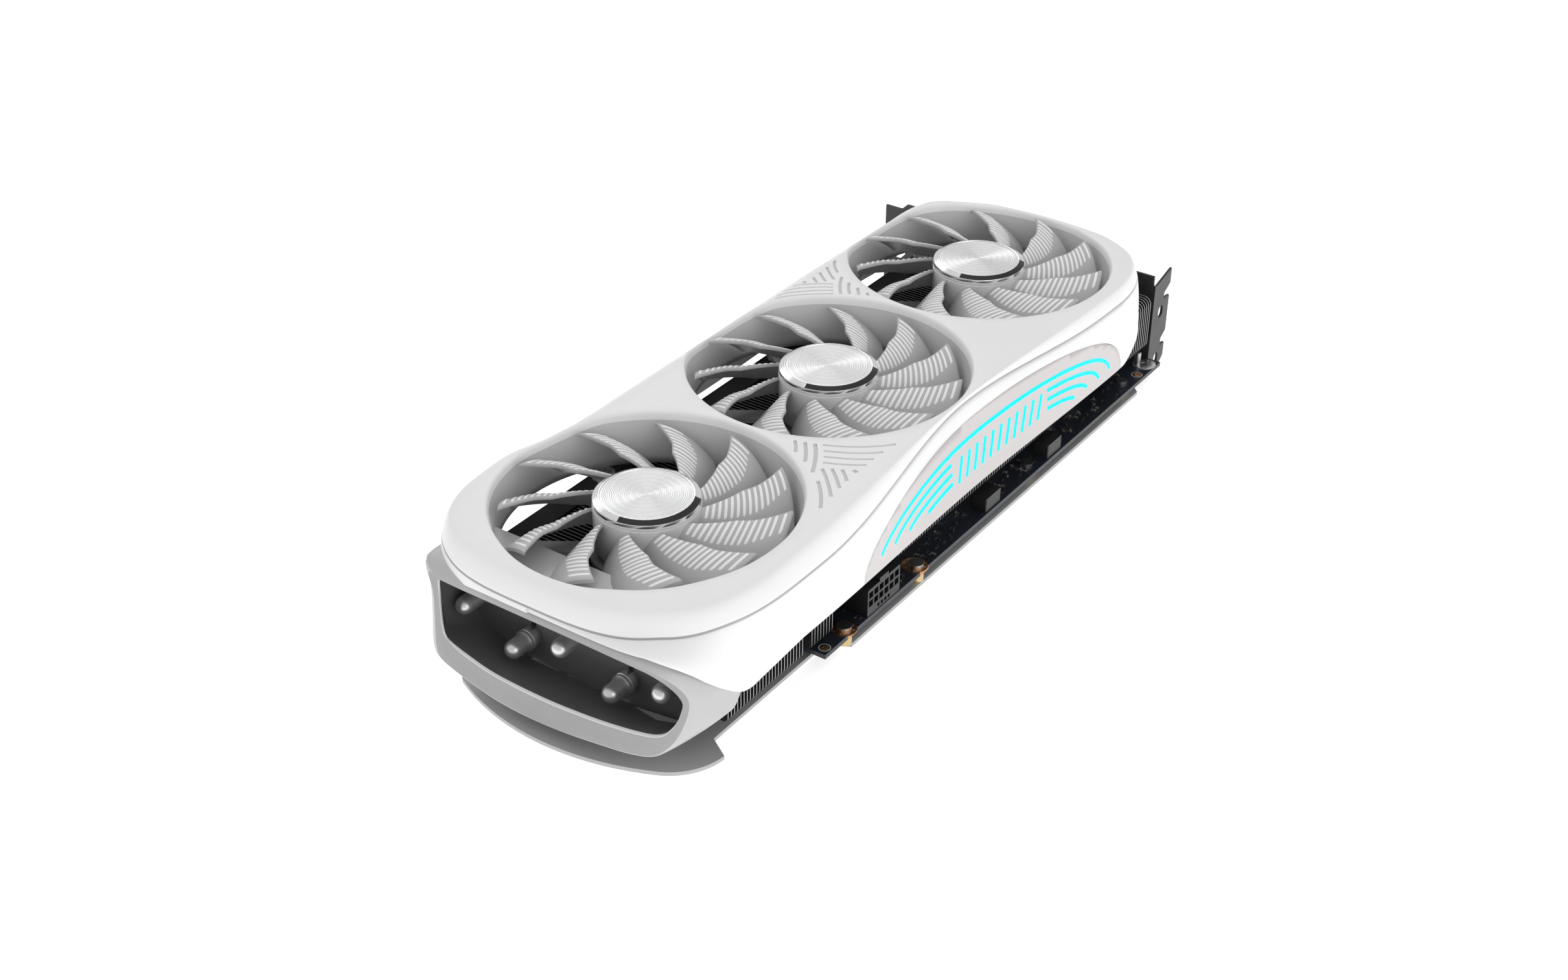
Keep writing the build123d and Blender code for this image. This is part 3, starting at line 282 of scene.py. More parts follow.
# near black sheets for the two keyholes: painted shadow, the back wall has no hole
KEYHOLE_SHADOW = finish("keyhole_painted_shadow", (0.008, 0.008, 0.008), 0.8, vary=0.1, grain=1800)
TIN = finish("tin", (0.66, 0.66, 0.65), 0.3, 1.0, vary=0.08, grain=1300, depth=0.0001, strength=0.4)
COPPER = finish("ring_copper", (0.62, 0.31, 0.13), 0.33, 1.0, vary=0.08, grain=1500)
PRINT = finish("board_print", (0.55, 0.56, 0.56), 0.6, vary=0.1, grain=1500)
PART_TAN = finish("part_tan", (0.20, 0.165, 0.12), 0.5, vary=0.14, grain=1500)
# a near black sector of the polished chamfer: a painted reflection of a dark surround, set by angle in the
# cap's own frame
CAP_PAINTED_REFLECTION = finish("cap_band", (0.022, 0.022, 0.024), 0.3, 0.4, vary=0.1, grain=1500)
CHAMFER = turned_metal("cap_chamfer", (0.93, 0.93, 0.935), 0.16, 0.0006, 0.08)

node_slot = {}
for subpart in frame["record"]["subparts"]:
    slot_name = subpart.get("material") or subpart.get("material_slot")
    node_slot[subpart.get("node") or subpart.get("name")] = slot_name
for name, obj in frame["nodes"].items():
    slot_name = node_slot.get(name)
    if slot_name not in MATERIALS and obj.data.materials and obj.data.materials[0]:
        slot_name = obj.data.materials[0].name.split(".")[0]
    obj.data.materials.clear()
    obj.data.materials.append(MATERIALS.get(slot_name, MATERIALS["brace_steel"]))


# -------------------- mesh helpers
class Shape:
    """Points in millimetres, faces and each face's material number."""

    def __init__(self):
        self.points, self.faces, self.kinds = [], [], []

    def add(self, points, faces, kind=0):
        start = len(self.points)
        self.points += [tuple(map(float, p)) for p in points]
        self.faces += [tuple(start + i for i in f) for f in faces]
        self.kinds += [kind] * len(faces)

    def grid(self, rows, kind=0, closed=False):
        """Quads between rows of points; closed joins each row's last point to its first."""
        n = len(rows[0])
        faces = []
        for r in range(len(rows) - 1):
            for i in range(n if closed else n - 1):
                j = (i + 1) % n
                faces.append((r * n + i, r * n + j, (r + 1) * n + j, (r + 1) * n + i))
        self.add([p for row in rows for p in row], faces, kind)

    def fan(self, loop, kind=0):
        self.add(loop, [tuple(range(len(loop)))], kind)

    def tube(self, loops, kind=0):
        """A closed solid through rings of points."""
        self.grid(loops, kind, closed=True)
        self.fan(loops[0][::-1], kind)
        self.fan(loops[-1], kind)

    def block(self, x0, x1, y0, y1, z0, z1, kind=0, bevel=0.0):
        """A box. A bevel cuts its upright corners and its top edge."""
        def ring(z, inset):
            a, c, d, e = x0 + inset, x1 - inset, y0 + inset, y1 - inset
            k = bevel * 0.6 if inset else bevel
            return [(a + k, d, z), (c - k, d, z), (c, d + k, z), (c, e - k, z),
                    (c - k, e, z), (a + k, e, z), (a, e - k, z), (a, d + k, z)]
        if bevel:
            self.tube([ring(z0, 0), ring(z1 - bevel, 0), ring(z1, bevel)], kind)
        else:
            self.tube([[(x0, y0, z), (x1, y0, z), (x1, y1, z), (x0, y1, z)] for z in (z0, z1)], kind)

    def turned(self, profile, x=0.0, y=0.0, segments=48, kind=0):
        """A profile of (radius, z) turned about an upright axis."""
        rows = []
        for radius, z in profile:
            rows.append([(x + radius * math.cos(a), y + radius * math.sin(a), z)
                         for a in np.linspace(0, 2 * math.pi, segments, endpoint=False)])
        self.grid(rows, kind, closed=True)


def piece(name, shape, materials, body="card", replaces=(), angle=32, place=None, merge=0.002,
          solid=0.0):
    """A finished mesh piece from a Shape, riding on a body. solid is the thickness given to a sheet."""
    mesh = bpy.data.meshes.new(name)
    mesh.from_pydata([tuple(c * MM for c in p) for p in shape.points], [], shape.faces)
    for material in materials:
        mesh.materials.append(material)
    mesh.polygons.foreach_set("material_index", shape.kinds)
    bm = bmesh.new()
    bm.from_mesh(mesh)
    bmesh.ops.remove_doubles(bm, verts=bm.verts, dist=merge * MM)
    bmesh.ops.dissolve_degenerate(bm, edges=bm.edges, dist=1e-7)
    bmesh.ops.recalc_face_normals(bm, faces=bm.faces)
    bm.to_mesh(mesh)
    bm.free()
    mesh.shade_smooth()
    mesh.set_sharp_from_angle(angle=math.radians(angle))
    obj = new_object(name, mesh)
    if place:
        obj.location = [c * MM for c in place]
    if solid:
        thick = obj.modifiers.new("wall", "SOLIDIFY")
        thick.thickness = solid * MM
        thick.offset = -1
        thick.use_even_offset = False
    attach(obj, body)
    if replaces:
        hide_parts(*replaces)
    return obj


def copy_piece(name, source, body, place, replaces):
    """Another piece that shares a source's mesh."""
    obj = new_object(name, source.data)
    obj.location = [c * MM for c in place]
    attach(obj, body)
    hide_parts(*replaces)


def evenly(points, count):
    """Points spaced evenly along a polyline."""
    points = np.asarray(points, float)
    steps = np.r_[0, np.cumsum(np.linalg.norm(np.diff(points, axis=0), axis=1))]
    at = np.linspace(0, steps[-1], count)
    return np.stack([np.interp(at, steps, points[:, k]) for k in range(points.shape[1])], axis=1)


def smooth_knots(x, knots):
    """A curve through (x, value) knots that is level at each of them."""
    xs, ys = zip(*knots)
    x = np.clip(np.asarray(x, float), xs[0], xs[-1])
    i = np.clip(np.searchsorted(xs, x) - 1, 0, len(xs) - 2)
    xs, ys = np.array(xs), np.array(ys)
    t = (x - xs[i]) / (xs[i + 1] - xs[i])
    return ys[i] + (ys[i + 1] - ys[i]) * t * t * (3 - 2 * t)


def knots_line(x, knots):
    xs, ys = zip(*knots)
    return np.interp(x, xs, ys)


def inside(points, loop):
    """Which 2-D points lie inside a closed loop."""
    points, loop = np.asarray(points, float), np.asarray(loop, float)
    x, y = points[:, 0], points[:, 1]
    hit = np.zeros(len(points), bool)
    for (x0, y0), (x1, y1) in zip(loop, np.roll(loop, -1, axis=0)):
        if y0 != y1:
            crosses = (y0 > y) != (y1 > y)
            hit ^= crosses & (x < (x1 - x0) * (y - y0) / (y1 - y0) + x0)
    return hit


def apart(points, loops, gap):
    """The points that keep a gap from every loop's own points."""
    edge = np.concatenate([np.asarray(loop, float) for loop in loops])
    return [p for p in points if np.min(np.hypot(edge[:, 0] - p[0], edge[:, 1] - p[1])) > gap]


def flat_mesh(outline, holes, marks, spare, gap):
    """Triangles that fill an outline but not its holes. marks are loops whose edges are kept;
    returns the 2-D points, the triangles, and for each triangle the mark it lies in or -1."""
    loops = [outline, *holes, *marks]
    points, edges = [], []
    for loop in loops:
        start = len(points)
        points += [tuple(map(float, p)) for p in loop]
        edges += [(start + i, start + (i + 1) % len(loop)) for i in range(len(loop))]
    spare = apart(spare, loops, gap)
    points += [tuple(map(float, p)) for p in spare]
    flat, _, faces, _, _, _ = delaunay_2d_cdt([Vector(p) for p in points], edges, [], 0, 1e-5)
    flat = np.array([tuple(p) for p in flat])
    faces = np.array([f for f in faces if len(f) == 3])
    middle = flat[faces].mean(axis=1)
    keep = inside(middle, outline)
    for hole in holes:
        keep &= ~inside(middle, hole)
    faces, middle = faces[keep], middle[keep]
    mark = np.full(len(faces), -1)
    for k, loop in enumerate(marks):
        mark[inside(middle, loop)] = k
    return flat, faces, mark


# -------------------- shroud curves
QUARTER, LONG = 60, 150


def end_quarter(cx, reach, half, power):
    """From the end's tip round to the long side: a quarter of a superellipse."""
    t = np.linspace(0, math.pi / 2, 400)
    x = cx + reach * np.cos(t) ** (2 / power)
    y = FAN_Y + half * np.sin(t) ** (2 / power)
    return evenly(np.stack([x, y], axis=1), QUARTER + 1)


def ring_curve(tail_reach, tail_side, tail_far, io_reach, io_side, io_far, side_mid, far_mid, tail_power=3.0):
    """One closed plan curve round the shroud, starting at the tail and going by the power side."""
    tail_s = end_quarter(TAIL_FAN_X, -tail_reach, -tail_side, tail_power)
    tail_f = end_quarter(TAIL_FAN_X, -tail_reach, tail_far, 3.3)
    io_s = end_quarter(IO_FAN_X, io_reach, -io_side, 2.6)
    io_f = end_quarter(IO_FAN_X, io_reach, io_far, 2.15)
    x = np.linspace(TAIL_FAN_X, IO_FAN_X, LONG + 1)
    side = smooth_knots(x, [(TAIL_FAN_X, FAN_Y - tail_side), (-92.7, FAN_Y - tail_side), (1, side_mid),
                            (IO_FAN_X, FAN_Y - io_side)])
    far = smooth_knots(x, [(TAIL_FAN_X, FAN_Y + tail_far), (-92.7, FAN_Y + tail_far), (1, far_mid),
                           (IO_FAN_X, FAN_Y + io_far)])
    power_half = np.concatenate([tail_s[:-1], np.stack([x, side], 1), io_s[::-1][1:]])
    far_half = np.concatenate([tail_f[:-1], np.stack([x, far], 1), io_f[::-1][1:]])
    return power_half, far_half


SEAM_SIDE, SEAM_FAR = ring_curve(55.2, 58.0, 52.2, 51.6, 54.6, 52.2, -57.0, 42.7)
TOP_SIDE, TOP_FAR = ring_curve(49.9, 54.2, 51.3, 48.9, 52.4, 50.5, -56.8, 42.3)
FOOT_SIDE, FOOT_FAR = ring_curve(56.0, 57.2, 53.0, 52.1, 57.2, 53.0, -63.2, 43.6, 6.0)

SEAM_SIDE_Z = [
    (-158.3, 48.5), (-149.8, 50.4), (-134.2, 51.4), (-92.7, 51.0), (1, 57.3), (84.1, 53.4), (117.7, 52.6),
    (143.7, 52.2),
]
SEAM_FAR_Z = [
    (-158.3, 48.5), (-149.8, 50.2), (-134.2, 51.0), (-92.7, 50.2), (-60, 50.0), (1, 50.4), (84.1, 49.4),
    (105, 48.9), (117.7, 50.2), (143.7, 52.2),
]
CROWN_Z = [
    (-160, 53.0), (-153, 54.7), (-151.3, 55.2), (-145, 56.1), (-125, 57.1), (-103.1, 57.7), (-75, 58.3),
    (-54, 58.4), (43, 58.4), (92.1, 58.0), (125, 57.2), (137, 56.1), (141, 55.4), (145, 54.6),
]
FOOT_SIDE_Z = [
    (-160, 46.8), (-157.6, 47.4), (-155.9, 46.2), (-154, 44.8), (-152, 43.1), (-150, 41.3), (-148.2, 39.3),
    (-143.1, 34.6), (-137.1, 29.8), (-134.4, 28.0), (-131.8, 26.8), (-128.2, 26.2), (-124, 26.7),
    (-102.7, 28.4), (-67, 28.2), (101.6, 27.6), (106, 29.0), (110.7, 30.4), (117.3, 31.9), (125.4, 33.6),
    (133, 37.5), (139, 42.0), (144.2, 46.0),
]
FOOT_FAR_Z = [
    (-160, 46.8), (-158.9, 46.4), (-156.1, 43.6), (-152, 42.6), (-147, 38.0), (-142, 32.0), (-136, 29.6),
    (-118.5, 29.4), (-114.5, 36.7), (-96.5, 36.7), (-94.5, 40.6), (-83.5, 38.7), (-61.5, 32.4),
    (101.6, 32.4), (117, 37.5), (133, 43.6), (144.2, 46.0),
]


FAR_FALL_Y, FAR_FALL_WIDTH, FAR_FALL = 31.0, 11.3, 7.2
FALL_SHARE = [(-112.0, 0.25), (-70.0, 1.0), (105.0, 1.0), (140.0, 0.5)]


def crown(x, y):
    """Height of the top plate: bowed along its length and rounded down towards the far edge."""
    over = np.clip((y - FAR_FALL_Y) / FAR_FALL_WIDTH, 0, None)
    return smooth_knots(x, CROWN_Z) - FAR_FALL * over ** 2 * smooth_knots(x, FALL_SHARE)


def rise(points, seam_z):
    return smooth_knots(points[:, 0], seam_z)


seam_side_z, seam_far_z = rise(SEAM_SIDE, SEAM_SIDE_Z), rise(SEAM_FAR, SEAM_FAR_Z)

# -------------------- shroud, top plate
OPEN_R = 48.3
LIP = [(47.95, 0.012), (47.65, 0.04), (47.45, 0.08), (47.2, 0.16), (46.75, 0.30), (46.3, 0.46), (45.9, 0.66),
       (45.65, 0.85), (45.6, 1.0)]
DUCT_BOTTOM_Z = 40.5
SKIRT = 1.6
SHOULDER = (0, 0.05, 0.12, 0.22, 0.34, 0.48, 0.63, 0.8, 1.0)
top = Shape()
for seam, edge, seam_z in ((SEAM_SIDE, TOP_SIDE, seam_side_z), (SEAM_FAR, TOP_FAR, seam_far_z)):
    edge_z = crown(edge[:, 0], edge[:, 1])
    rows = [np.column_stack([seam, seam_z - SKIRT])]
    for v in SHOULDER:
        height = seam_z + (edge_z - seam_z) * (1 - (1 - v) ** 1.9)
        plan = seam + (edge - seam) * v
        rows.append(np.column_stack([plan, height]))
    # the skirt band gets the grey of painted shade, drawn as the dark seam
    top.grid(rows[:2], 1)
    top.grid(rows[1:])

top_loop = np.concatenate([TOP_SIDE, TOP_FAR[::-1][1:-1]])
turns = np.linspace(0, 2 * math.pi, 144, endpoint=False)
circles = [np.stack([x + OPEN_R * np.cos(turns), FAN_Y + OPEN_R * np.sin(turns)], 1) for x in FANS.values()]
# slots sunk in the top plate: start, middle and end of each centre line, and its width
SLOT_LINES = [
    ((-50.2, -35.8), (-44.1, -46.3), (-36.6, -53.9), 1.0),
    ((-53.0, -37.9), (-48.0, -47.2), (-42.8, -53.3), 1.0),
    ((-55.8, -39.8), (-51.7, -48.0), (-48.0, -53.1), 1.0),
    ((-58.7, -41.5), (-55.7, -48.0), (-52.2, -53.1), 1.0),
    ((-52.9, -27.0), (-55.8, -29.4), (-58.6, -31.2), 1.1),
    ((-51.9, -30.1), (-56.8, -33.9), (-61.6, -36.8), 1.2),
    ((-50.9, -33.2), (-57.2, -37.8), (-65.4, -42.2), 1.3),
    ((-68.3, -46.1), (-74.0, -51.1), (-80.4, -55.3), 1.2),
    ((-61.8, -43.2), (-66.8, -48.6), (-73.4, -54.4), 1.2),
    ((-60.0, -45.6), (-63.8, -49.8), (-68.0, -53.8), 1.2),
    ((-58.7, -48.4), (-60.8, -50.9), (-63.4, -53.4), 1.2),
    ((-57.0, -51.4), (-57.3, -52.4), (-57.6, -53.3), 1.5), ((59.3, 33.1), (54.7, 30.1), (51.2, 26.5), 1.1),
    ((52.9, 32.4), (49.2, 28.7), (45.9, 24.5), 1.1), ((47.5, 31.9), (45.0, 28.9), (43.0, 26.1), 1.1),
    ((43.0, 31.6), (41.7, 29.9), (40.4, 28.1), 1.1), ((38.9, 32.2), (38.2, 31.9), (37.5, 31.6), 1.1),
    ((42.8, 23.0), (39.0, 28.3), (33.9, 33.9), 0.9), ((40.7, 21.5), (35.9, 28.0), (29.2, 34.3), 0.9),
    ((38.6, 20.0), (32.6, 27.6), (24.8, 34.4), 0.9), ((36.5, 18.6), (29.4, 27.3), (22.0, 33.3), 0.9),
    ((49.4, 23.4), (43.6, 20.4), (37.9, 16.3), 1.1), ((47.0, 18.9), (42.8, 16.2), (39.7, 13.7), 1.1),
    ((45.4, 14.4), (43.1, 12.4), (41.1, 10.9), 1.1), ((44.2, 9.5), (43.4, 8.7), (42.4, 7.9), 1.1),
]
SLOT_DEPTH, SLOT_STEPS = 0.55, 9


def slot_edges(start, middle, end, width):
    """The two long edges of a curved slot."""
    t = np.linspace(0, 1, SLOT_STEPS)[:, None]
    start, middle, end = (np.array(p, float) for p in (start, middle, end))
    path = start * (1 - t) * (1 - 2 * t) + middle * 4 * t * (1 - t) + end * t * (2 * t - 1)
    along = np.gradient(path, axis=0)
    along /= np.linalg.norm(along, axis=1)[:, None]
    across = np.stack([-along[:, 1], along[:, 0]], 1) * width / 2
    return path - across, path + across


SLOT_EDGES = [slot_edges(*line) for line in SLOT_LINES]
SLOTS = [np.concatenate([a, b[::-1]]) for a, b in SLOT_EDGES]
spare = [(x, y) for x in np.arange(-156, 144, 4.0) for y in np.arange(-64, 46, 4.0)]
spare = [p for p, ok in zip(spare, inside(spare, top_loop)) if ok]
for circle in circles:
    spare = [p for p, ok in zip(spare, inside(spare, circle)) if not ok]
flat, faces, mark = flat_mesh(top_loop, circles, SLOTS, spare, 1.6)
lifted = np.column_stack([flat, crown(flat[:, 0], flat[:, 1])])
top.add(lifted, faces[mark < 0])
for (left, right), loop in zip(SLOT_EDGES, SLOTS):
    rim = np.column_stack([loop, crown(loop[:, 0], loop[:, 1])])
    top.grid([rim, rim - (0, 0, SLOT_DEPTH)], closed=True)
    floor_rows = [np.column_stack([e, crown(e[:, 0], e[:, 1]) - SLOT_DEPTH]) for e in (left, right)]
    # the slot floors take the painted-shade grey
    top.grid(floor_rows, 2)
for x, circle in zip(FANS.values(), circles):
    rim_z = crown(circle[:, 0], circle[:, 1])
    rows = [np.column_stack([circle, rim_z])]
    for radius, share in LIP:
        plan = np.stack([x + radius * np.cos(turns), FAN_Y + radius * np.sin(turns)], 1)
        rows.append(np.column_stack([plan, rim_z + (DUCT_BOTTOM_Z - rim_z) * share]))
    top.grid(rows[:5], closed=True)
    # below the lip the duct wall takes the grey of painted shade
    top.grid(rows[4:], 3, closed=True)
piece("shroud-top", top, [MATERIALS["shroud_white"], SEAM_SHADE, SLOT_FLOOR_SHADE, DUCT_PAINTED_SHADE],
      replaces=["shroud_top_plate"], angle=50, solid=0.9)

# -------------------- shroud, side walls
STEP_DOWN, STEP_OUT, BULGE = 0.7, 0.22, 3.2
SHROUD_X, SHROUD_Y = (-159.5, 144.2), (-66.2, 45.2)
LEVELS = (0, 0.03, 0.1, 0.22, 0.36, 0.5, 0.64, 0.78, 0.88, 0.95, 0.985, 1.0)
# each wall's foot and seam in plan, then their heights
SIDE_WALL = FOOT_SIDE, SEAM_SIDE, knots_line(FOOT_SIDE[:, 0], FOOT_SIDE_Z), seam_side_z
FAR_WALL = FOOT_FAR, SEAM_FAR, knots_line(FOOT_FAR[:, 0], FOOT_FAR_Z), seam_far_z


def wall_point(t, s, wall):
    """A point on a wall: s along it, t from its foot to the seam."""
    foot, seam, foot_z, seam_z = wall
    at = s * (len(foot) - 1)
    index = np.arange(len(foot))
    fx, fy = np.interp(at, index, foot[:, 0]), np.interp(at, index, foot[:, 1])
    sx, sy = np.interp(at, index, seam[:, 0]), np.interp(at, index, seam[:, 1])
    fz, sz = np.interp(at, index, foot_z), np.interp(at, index, seam_z)
    corner = np.clip((-122 - fx) / 22, 0, 1) * np.clip((FAN_Y - fy) / 30, 0, 1)
    share = t ** (1 + corner)
    x, y, z = fx + (sx - fx) * share, fy + (sy - fy) * share, fz + (sz - fz) * t
    out_x, out_y = np.interp(at, index, foot[:, 0] - np.clip(foot[:, 0], -75, 70)), fy - FAN_Y
    size = np.hypot(out_x, out_y)
    tall = np.clip((sz - fz) / 25, 0, 1)
    bulge = BULGE * t * t * (1 - t) * tall + STEP_OUT * t
    roll = np.clip((t - 0.985) / 0.015, 0, 1) ** 2 * 0.25
    x, y = x + out_x / size * (bulge - roll), y + out_y / size * (bulge - roll)
    x, y = np.clip(x, *SHROUD_X), np.clip(y, *SHROUD_Y)
    return np.column_stack([x, y, z - STEP_DOWN * t])


def wall_rows(wall, start=0.0, end=1.0, count=None):
    s = np.linspace(start, end, count or len(wall[0]))
    return [wall_point(np.full(len(s), t), s, wall) for t in LEVELS]


# the light panel's outline on the wall, as (x, z)
PANEL_X, PANEL_HALF, PANEL_FOOT_Z, PANEL_TOP_Z, ARCH_POWER = 14.5, 84.0, 27.0, 51.5, 2.5


def arch(half, foot_z, top_z, count=140):
    t = np.linspace(math.pi, 0, 600)
    c, s = np.cos(t), np.sin(t)
    x = PANEL_X + half * np.sign(c) * np.abs(c) ** (2 / ARCH_POWER)
    z = foot_z + (top_z - foot_z) * s ** (2 / ARCH_POWER)
    return evenly(np.stack([x, z], 1), count)


def side_place(points):
    """(x, z) on the power side's wall to its (s, t)."""
    points = np.asarray(points, float)
    out = []
    table = np.linspace(0, 1, len(FOOT_SIDE))
    for x, z in points:
        t = 0.5
        for _ in range(8):
            xs = wall_point(np.full(len(table), t), table, SIDE_WALL)
            s = np.interp(x, xs[:, 0], table)
            zs = wall_point(np.array([0.0, 1.0]), np.array([s, s]), SIDE_WALL)[:, 2]
            t = (z - zs[0]) / (zs[1] - zs[0])
        out.append((s, t))
    return np.array(out)


def side_lift(st, out=0.0):
    """(s, t) on the power side's wall to points, moved out of its face."""
    st = np.asarray(st, float)
    place = wall_point(st[:, 1], st[:, 0], SIDE_WALL)
    if out:
        nudge = 1e-3
        a = wall_point(st[:, 1], st[:, 0] + nudge, SIDE_WALL) - place
        b = wall_point(st[:, 1] + nudge, st[:, 0], SIDE_WALL) - place
        normal = np.cross(a, b)
        normal /= np.linalg.norm(normal, axis=1)[:, None]
        normal[normal[:, 1] > 0] *= -1
        place = place + normal * out
    return place


panel_xz = arch(PANEL_HALF, PANEL_FOOT_Z, PANEL_TOP_Z)
panel_st = side_place(panel_xz)
panel_st = panel_st[panel_st[:, 1] > 0]
S_SCALE, T_SCALE = 420.0, 25.0
left_s, right_s = panel_st[0, 0], panel_st[-1, 0]
spans = len(FOOT_SIDE) - 1
index_left, index_right = int(left_s * spans) - 2, int(right_s * spans) + 3
first, last = index_left / spans, index_right / spans
columns = np.linspace(first, last, index_right - index_left + 1)

walls = Shape()
walls.grid(wall_rows(SIDE_WALL, 0.0, first, index_left + 1))
walls.grid(wall_rows(SIDE_WALL, last, 1.0, len(FOOT_SIDE) - index_right))
walls.grid(wall_rows(FAR_WALL))


def scaled(st):
    return np.asarray(st, float) * (S_SCALE, T_SCALE)


def side_sheet(shape, outline_st, spare_st, gap, out=0.0, kind=0):
    """Triangles laid on the power side's wall inside an outline."""
    flat, faces, _ = flat_mesh(scaled(outline_st), [], [], scaled(spare_st), gap)
    shape.add(side_lift(flat / (S_SCALE, T_SCALE), out), faces, kind)


def foot_line(a, b, count):
    return [(s, 0.0) for s in np.linspace(a, b, count)]


arch_st = np.concatenate([[(left_s, 0.0)], panel_st[1:-1], [(right_s, 0.0)]])
frame_outline = np.concatenate([
    [(first, t) for t in LEVELS[::-1]],
    foot_line(first, left_s, 4)[1:-1],
    arch_st,
    foot_line(right_s, last, 4)[1:-1],
    [(last, t) for t in LEVELS],
    [(s, 1.0) for s in columns[::-1][1:-1]],
])
spare = np.array([(s, t) for s in columns[1:-1] for t in LEVELS[1:-1]])
out_of_arch = ~inside(scaled(spare), scaled(arch_st))
side_sheet(walls, frame_outline, spare[out_of_arch], 0.55)
piece("shroud-sides", walls, [MATERIALS["shroud_white"]],
      replaces=["shroud_side_frame"], angle=40, solid=1.6)

# -------------------- light panel and bars
panel = Shape()
inner_st = arch_st.copy()
centre_s = (left_s + right_s) / 2
inner_st[:, 0] = centre_s + (inner_st[:, 0] - centre_s) * 0.9985
inner_st[1:-1, 1] -= 0.006
panel_outline = np.concatenate([inner_st, foot_line(inner_st[-1, 0], inner_st[0, 0], 120)[1:-1]])
spare = np.array([(s, t) for s in columns for t in (0.03, 0.1, 0.2, 0.3, 0.4, 0.5, 0.6, 0.7, 0.8)])
spare = spare[inside(scaled(spare), scaled(panel_outline))]
side_sheet(panel, panel_outline, spare, 0.6)
piece("light-panel", panel, [MATERIALS["panel_grey"]], replaces=["side_light_panel"],
      angle=40, solid=1.6)

BAR_HALF, BAR_STEP_X, BAR_TOP_Z, BAR_STEP_Z, BAR_BASE_Z, BAR_WIDTH = 75.5, 7.8, 45.6, 3.3, 27.9, 1.4
GAP_LEFT_X, GAP_RIGHT_X, BAR_LEFT_Z, BAR_RIGHT_Z = -13.5, 46.5, 32.8, 31.1


def ribbon(shape, path, width, proud=0.14, deep=0.4, kind=0):
    """A bar of light laid in the wall along a path of (x, z) points."""
    path = np.asarray(path, float)
    along = np.gradient(path, axis=0)
    along /= np.linalg.norm(along, axis=1)[:, None]
    across = np.stack([-along[:, 1], along[:, 0]], 1) * width / 2
    edges = []
    for share, out in ((-1, -deep), (-1, proud * 0.6), (-0.82, proud),
                       (0.82, proud), (1, proud * 0.6), (1, -deep)):
        edges.append(side_lift(side_place(path + across * share), out))
    loops = [[tuple(e[i]) for e in edges] for i in range(len(path))]
    shape.tube(loops, kind)


bars = Shape()
for k in range(4):
    line = arch(BAR_HALF - k * BAR_STEP_X, BAR_BASE_Z, BAR_TOP_Z - k * BAR_STEP_Z, 260)
    line = line[line[:, 1] > np.where(line[:, 0] < PANEL_X, BAR_LEFT_Z, BAR_RIGHT_Z)]
    if k:
        ribbon(bars, evenly(line[line[:, 0] < GAP_LEFT_X], 40), BAR_WIDTH)
        ribbon(bars, evenly(line[line[:, 0] > GAP_RIGHT_X], 30), BAR_WIDTH)
    else:
        ribbon(bars, evenly(line, 130), BAR_WIDTH)
for k in range(11):
    foot_x = -10.0 + k * 5.0
    ribbon(bars, evenly([(foot_x, 33.4), (foot_x + 3.4, 41.6)], 4), 1.5)
piece("light-bars", bars, [MATERIALS["light_cyan"]], replaces=["light_bars"])

# -------------------- fans
BLADES, BLADE_TOP_Z, FIRST_TIP = 11, 56.4, 34.8
ROOT_R, TIP_START_R, TIP_R, TIP_ROUND = 15.9, 43.6, 44.5, 0.9
# by radius: each edge's angle behind the tip, then its depth
LEAD = [(15.9, 31.5), (17, 31), (23, 20.5), (29, 12.3), (34, 10), (39, 5.2), (44.5, 0)]
TRAIL = [(15.9, 57), (17, 56), (23, 48.5), (29, 41), (34, 36.5), (39, 31), (44.5, 25)]
LEAD_DROP = [(15.9, 2.2), (29.5, 1.3), (40, 0.5), (44.5, 0.0)]
TRAIL_DROP = [(15.9, 12.0), (29.5, 12.8), (44.5, 12.0)]


def blade_point(r, c, rise_by=0.0):
    """A point on the blade's upper face: radius r, share c of the chord from the leading edge."""
    lead, trail = np.interp(r, *zip(*LEAD)), np.interp(r, *zip(*TRAIL))
    drop_a, drop_b = np.interp(r, *zip(*LEAD_DROP)), np.interp(r, *zip(*TRAIL_DROP))
    angle = math.radians(-(lead + (trail - lead) * c))
    z = BLADE_TOP_Z - (drop_a + (drop_b - drop_a) * (0.3 * c + 0.7 * c * c))
    tip = max(0.0, (r - TIP_START_R) / TIP_ROUND)
    return np.array([r * math.cos(angle), r * math.sin(angle), z - 0.5 * tip * tip + rise_by])


rotor = Shape()
blade_loops = []
radii = [*np.linspace(ROOT_R, TIP_START_R, 22), 43.9, 44.15, 44.35, TIP_R]
chord = list(np.linspace(0.0, 1.0, 17))
for r in radii:
    upper = [blade_point(r, 0.012 + 0.976 * c) for c in chord]
    loop = [blade_point(r, 0.0, -0.35)] + upper
    lower = [blade_point(r, 0.012 + 0.976 * c, -1.25 + 0.75 * c * c) for c in chord[::-1]]
    loop += [blade_point(r, 1.0, -0.3)] + lower + [blade_point(r, 0.0, -0.8)]
    blade_loops.append(loop)


RIDGE_ROUND = 0.06


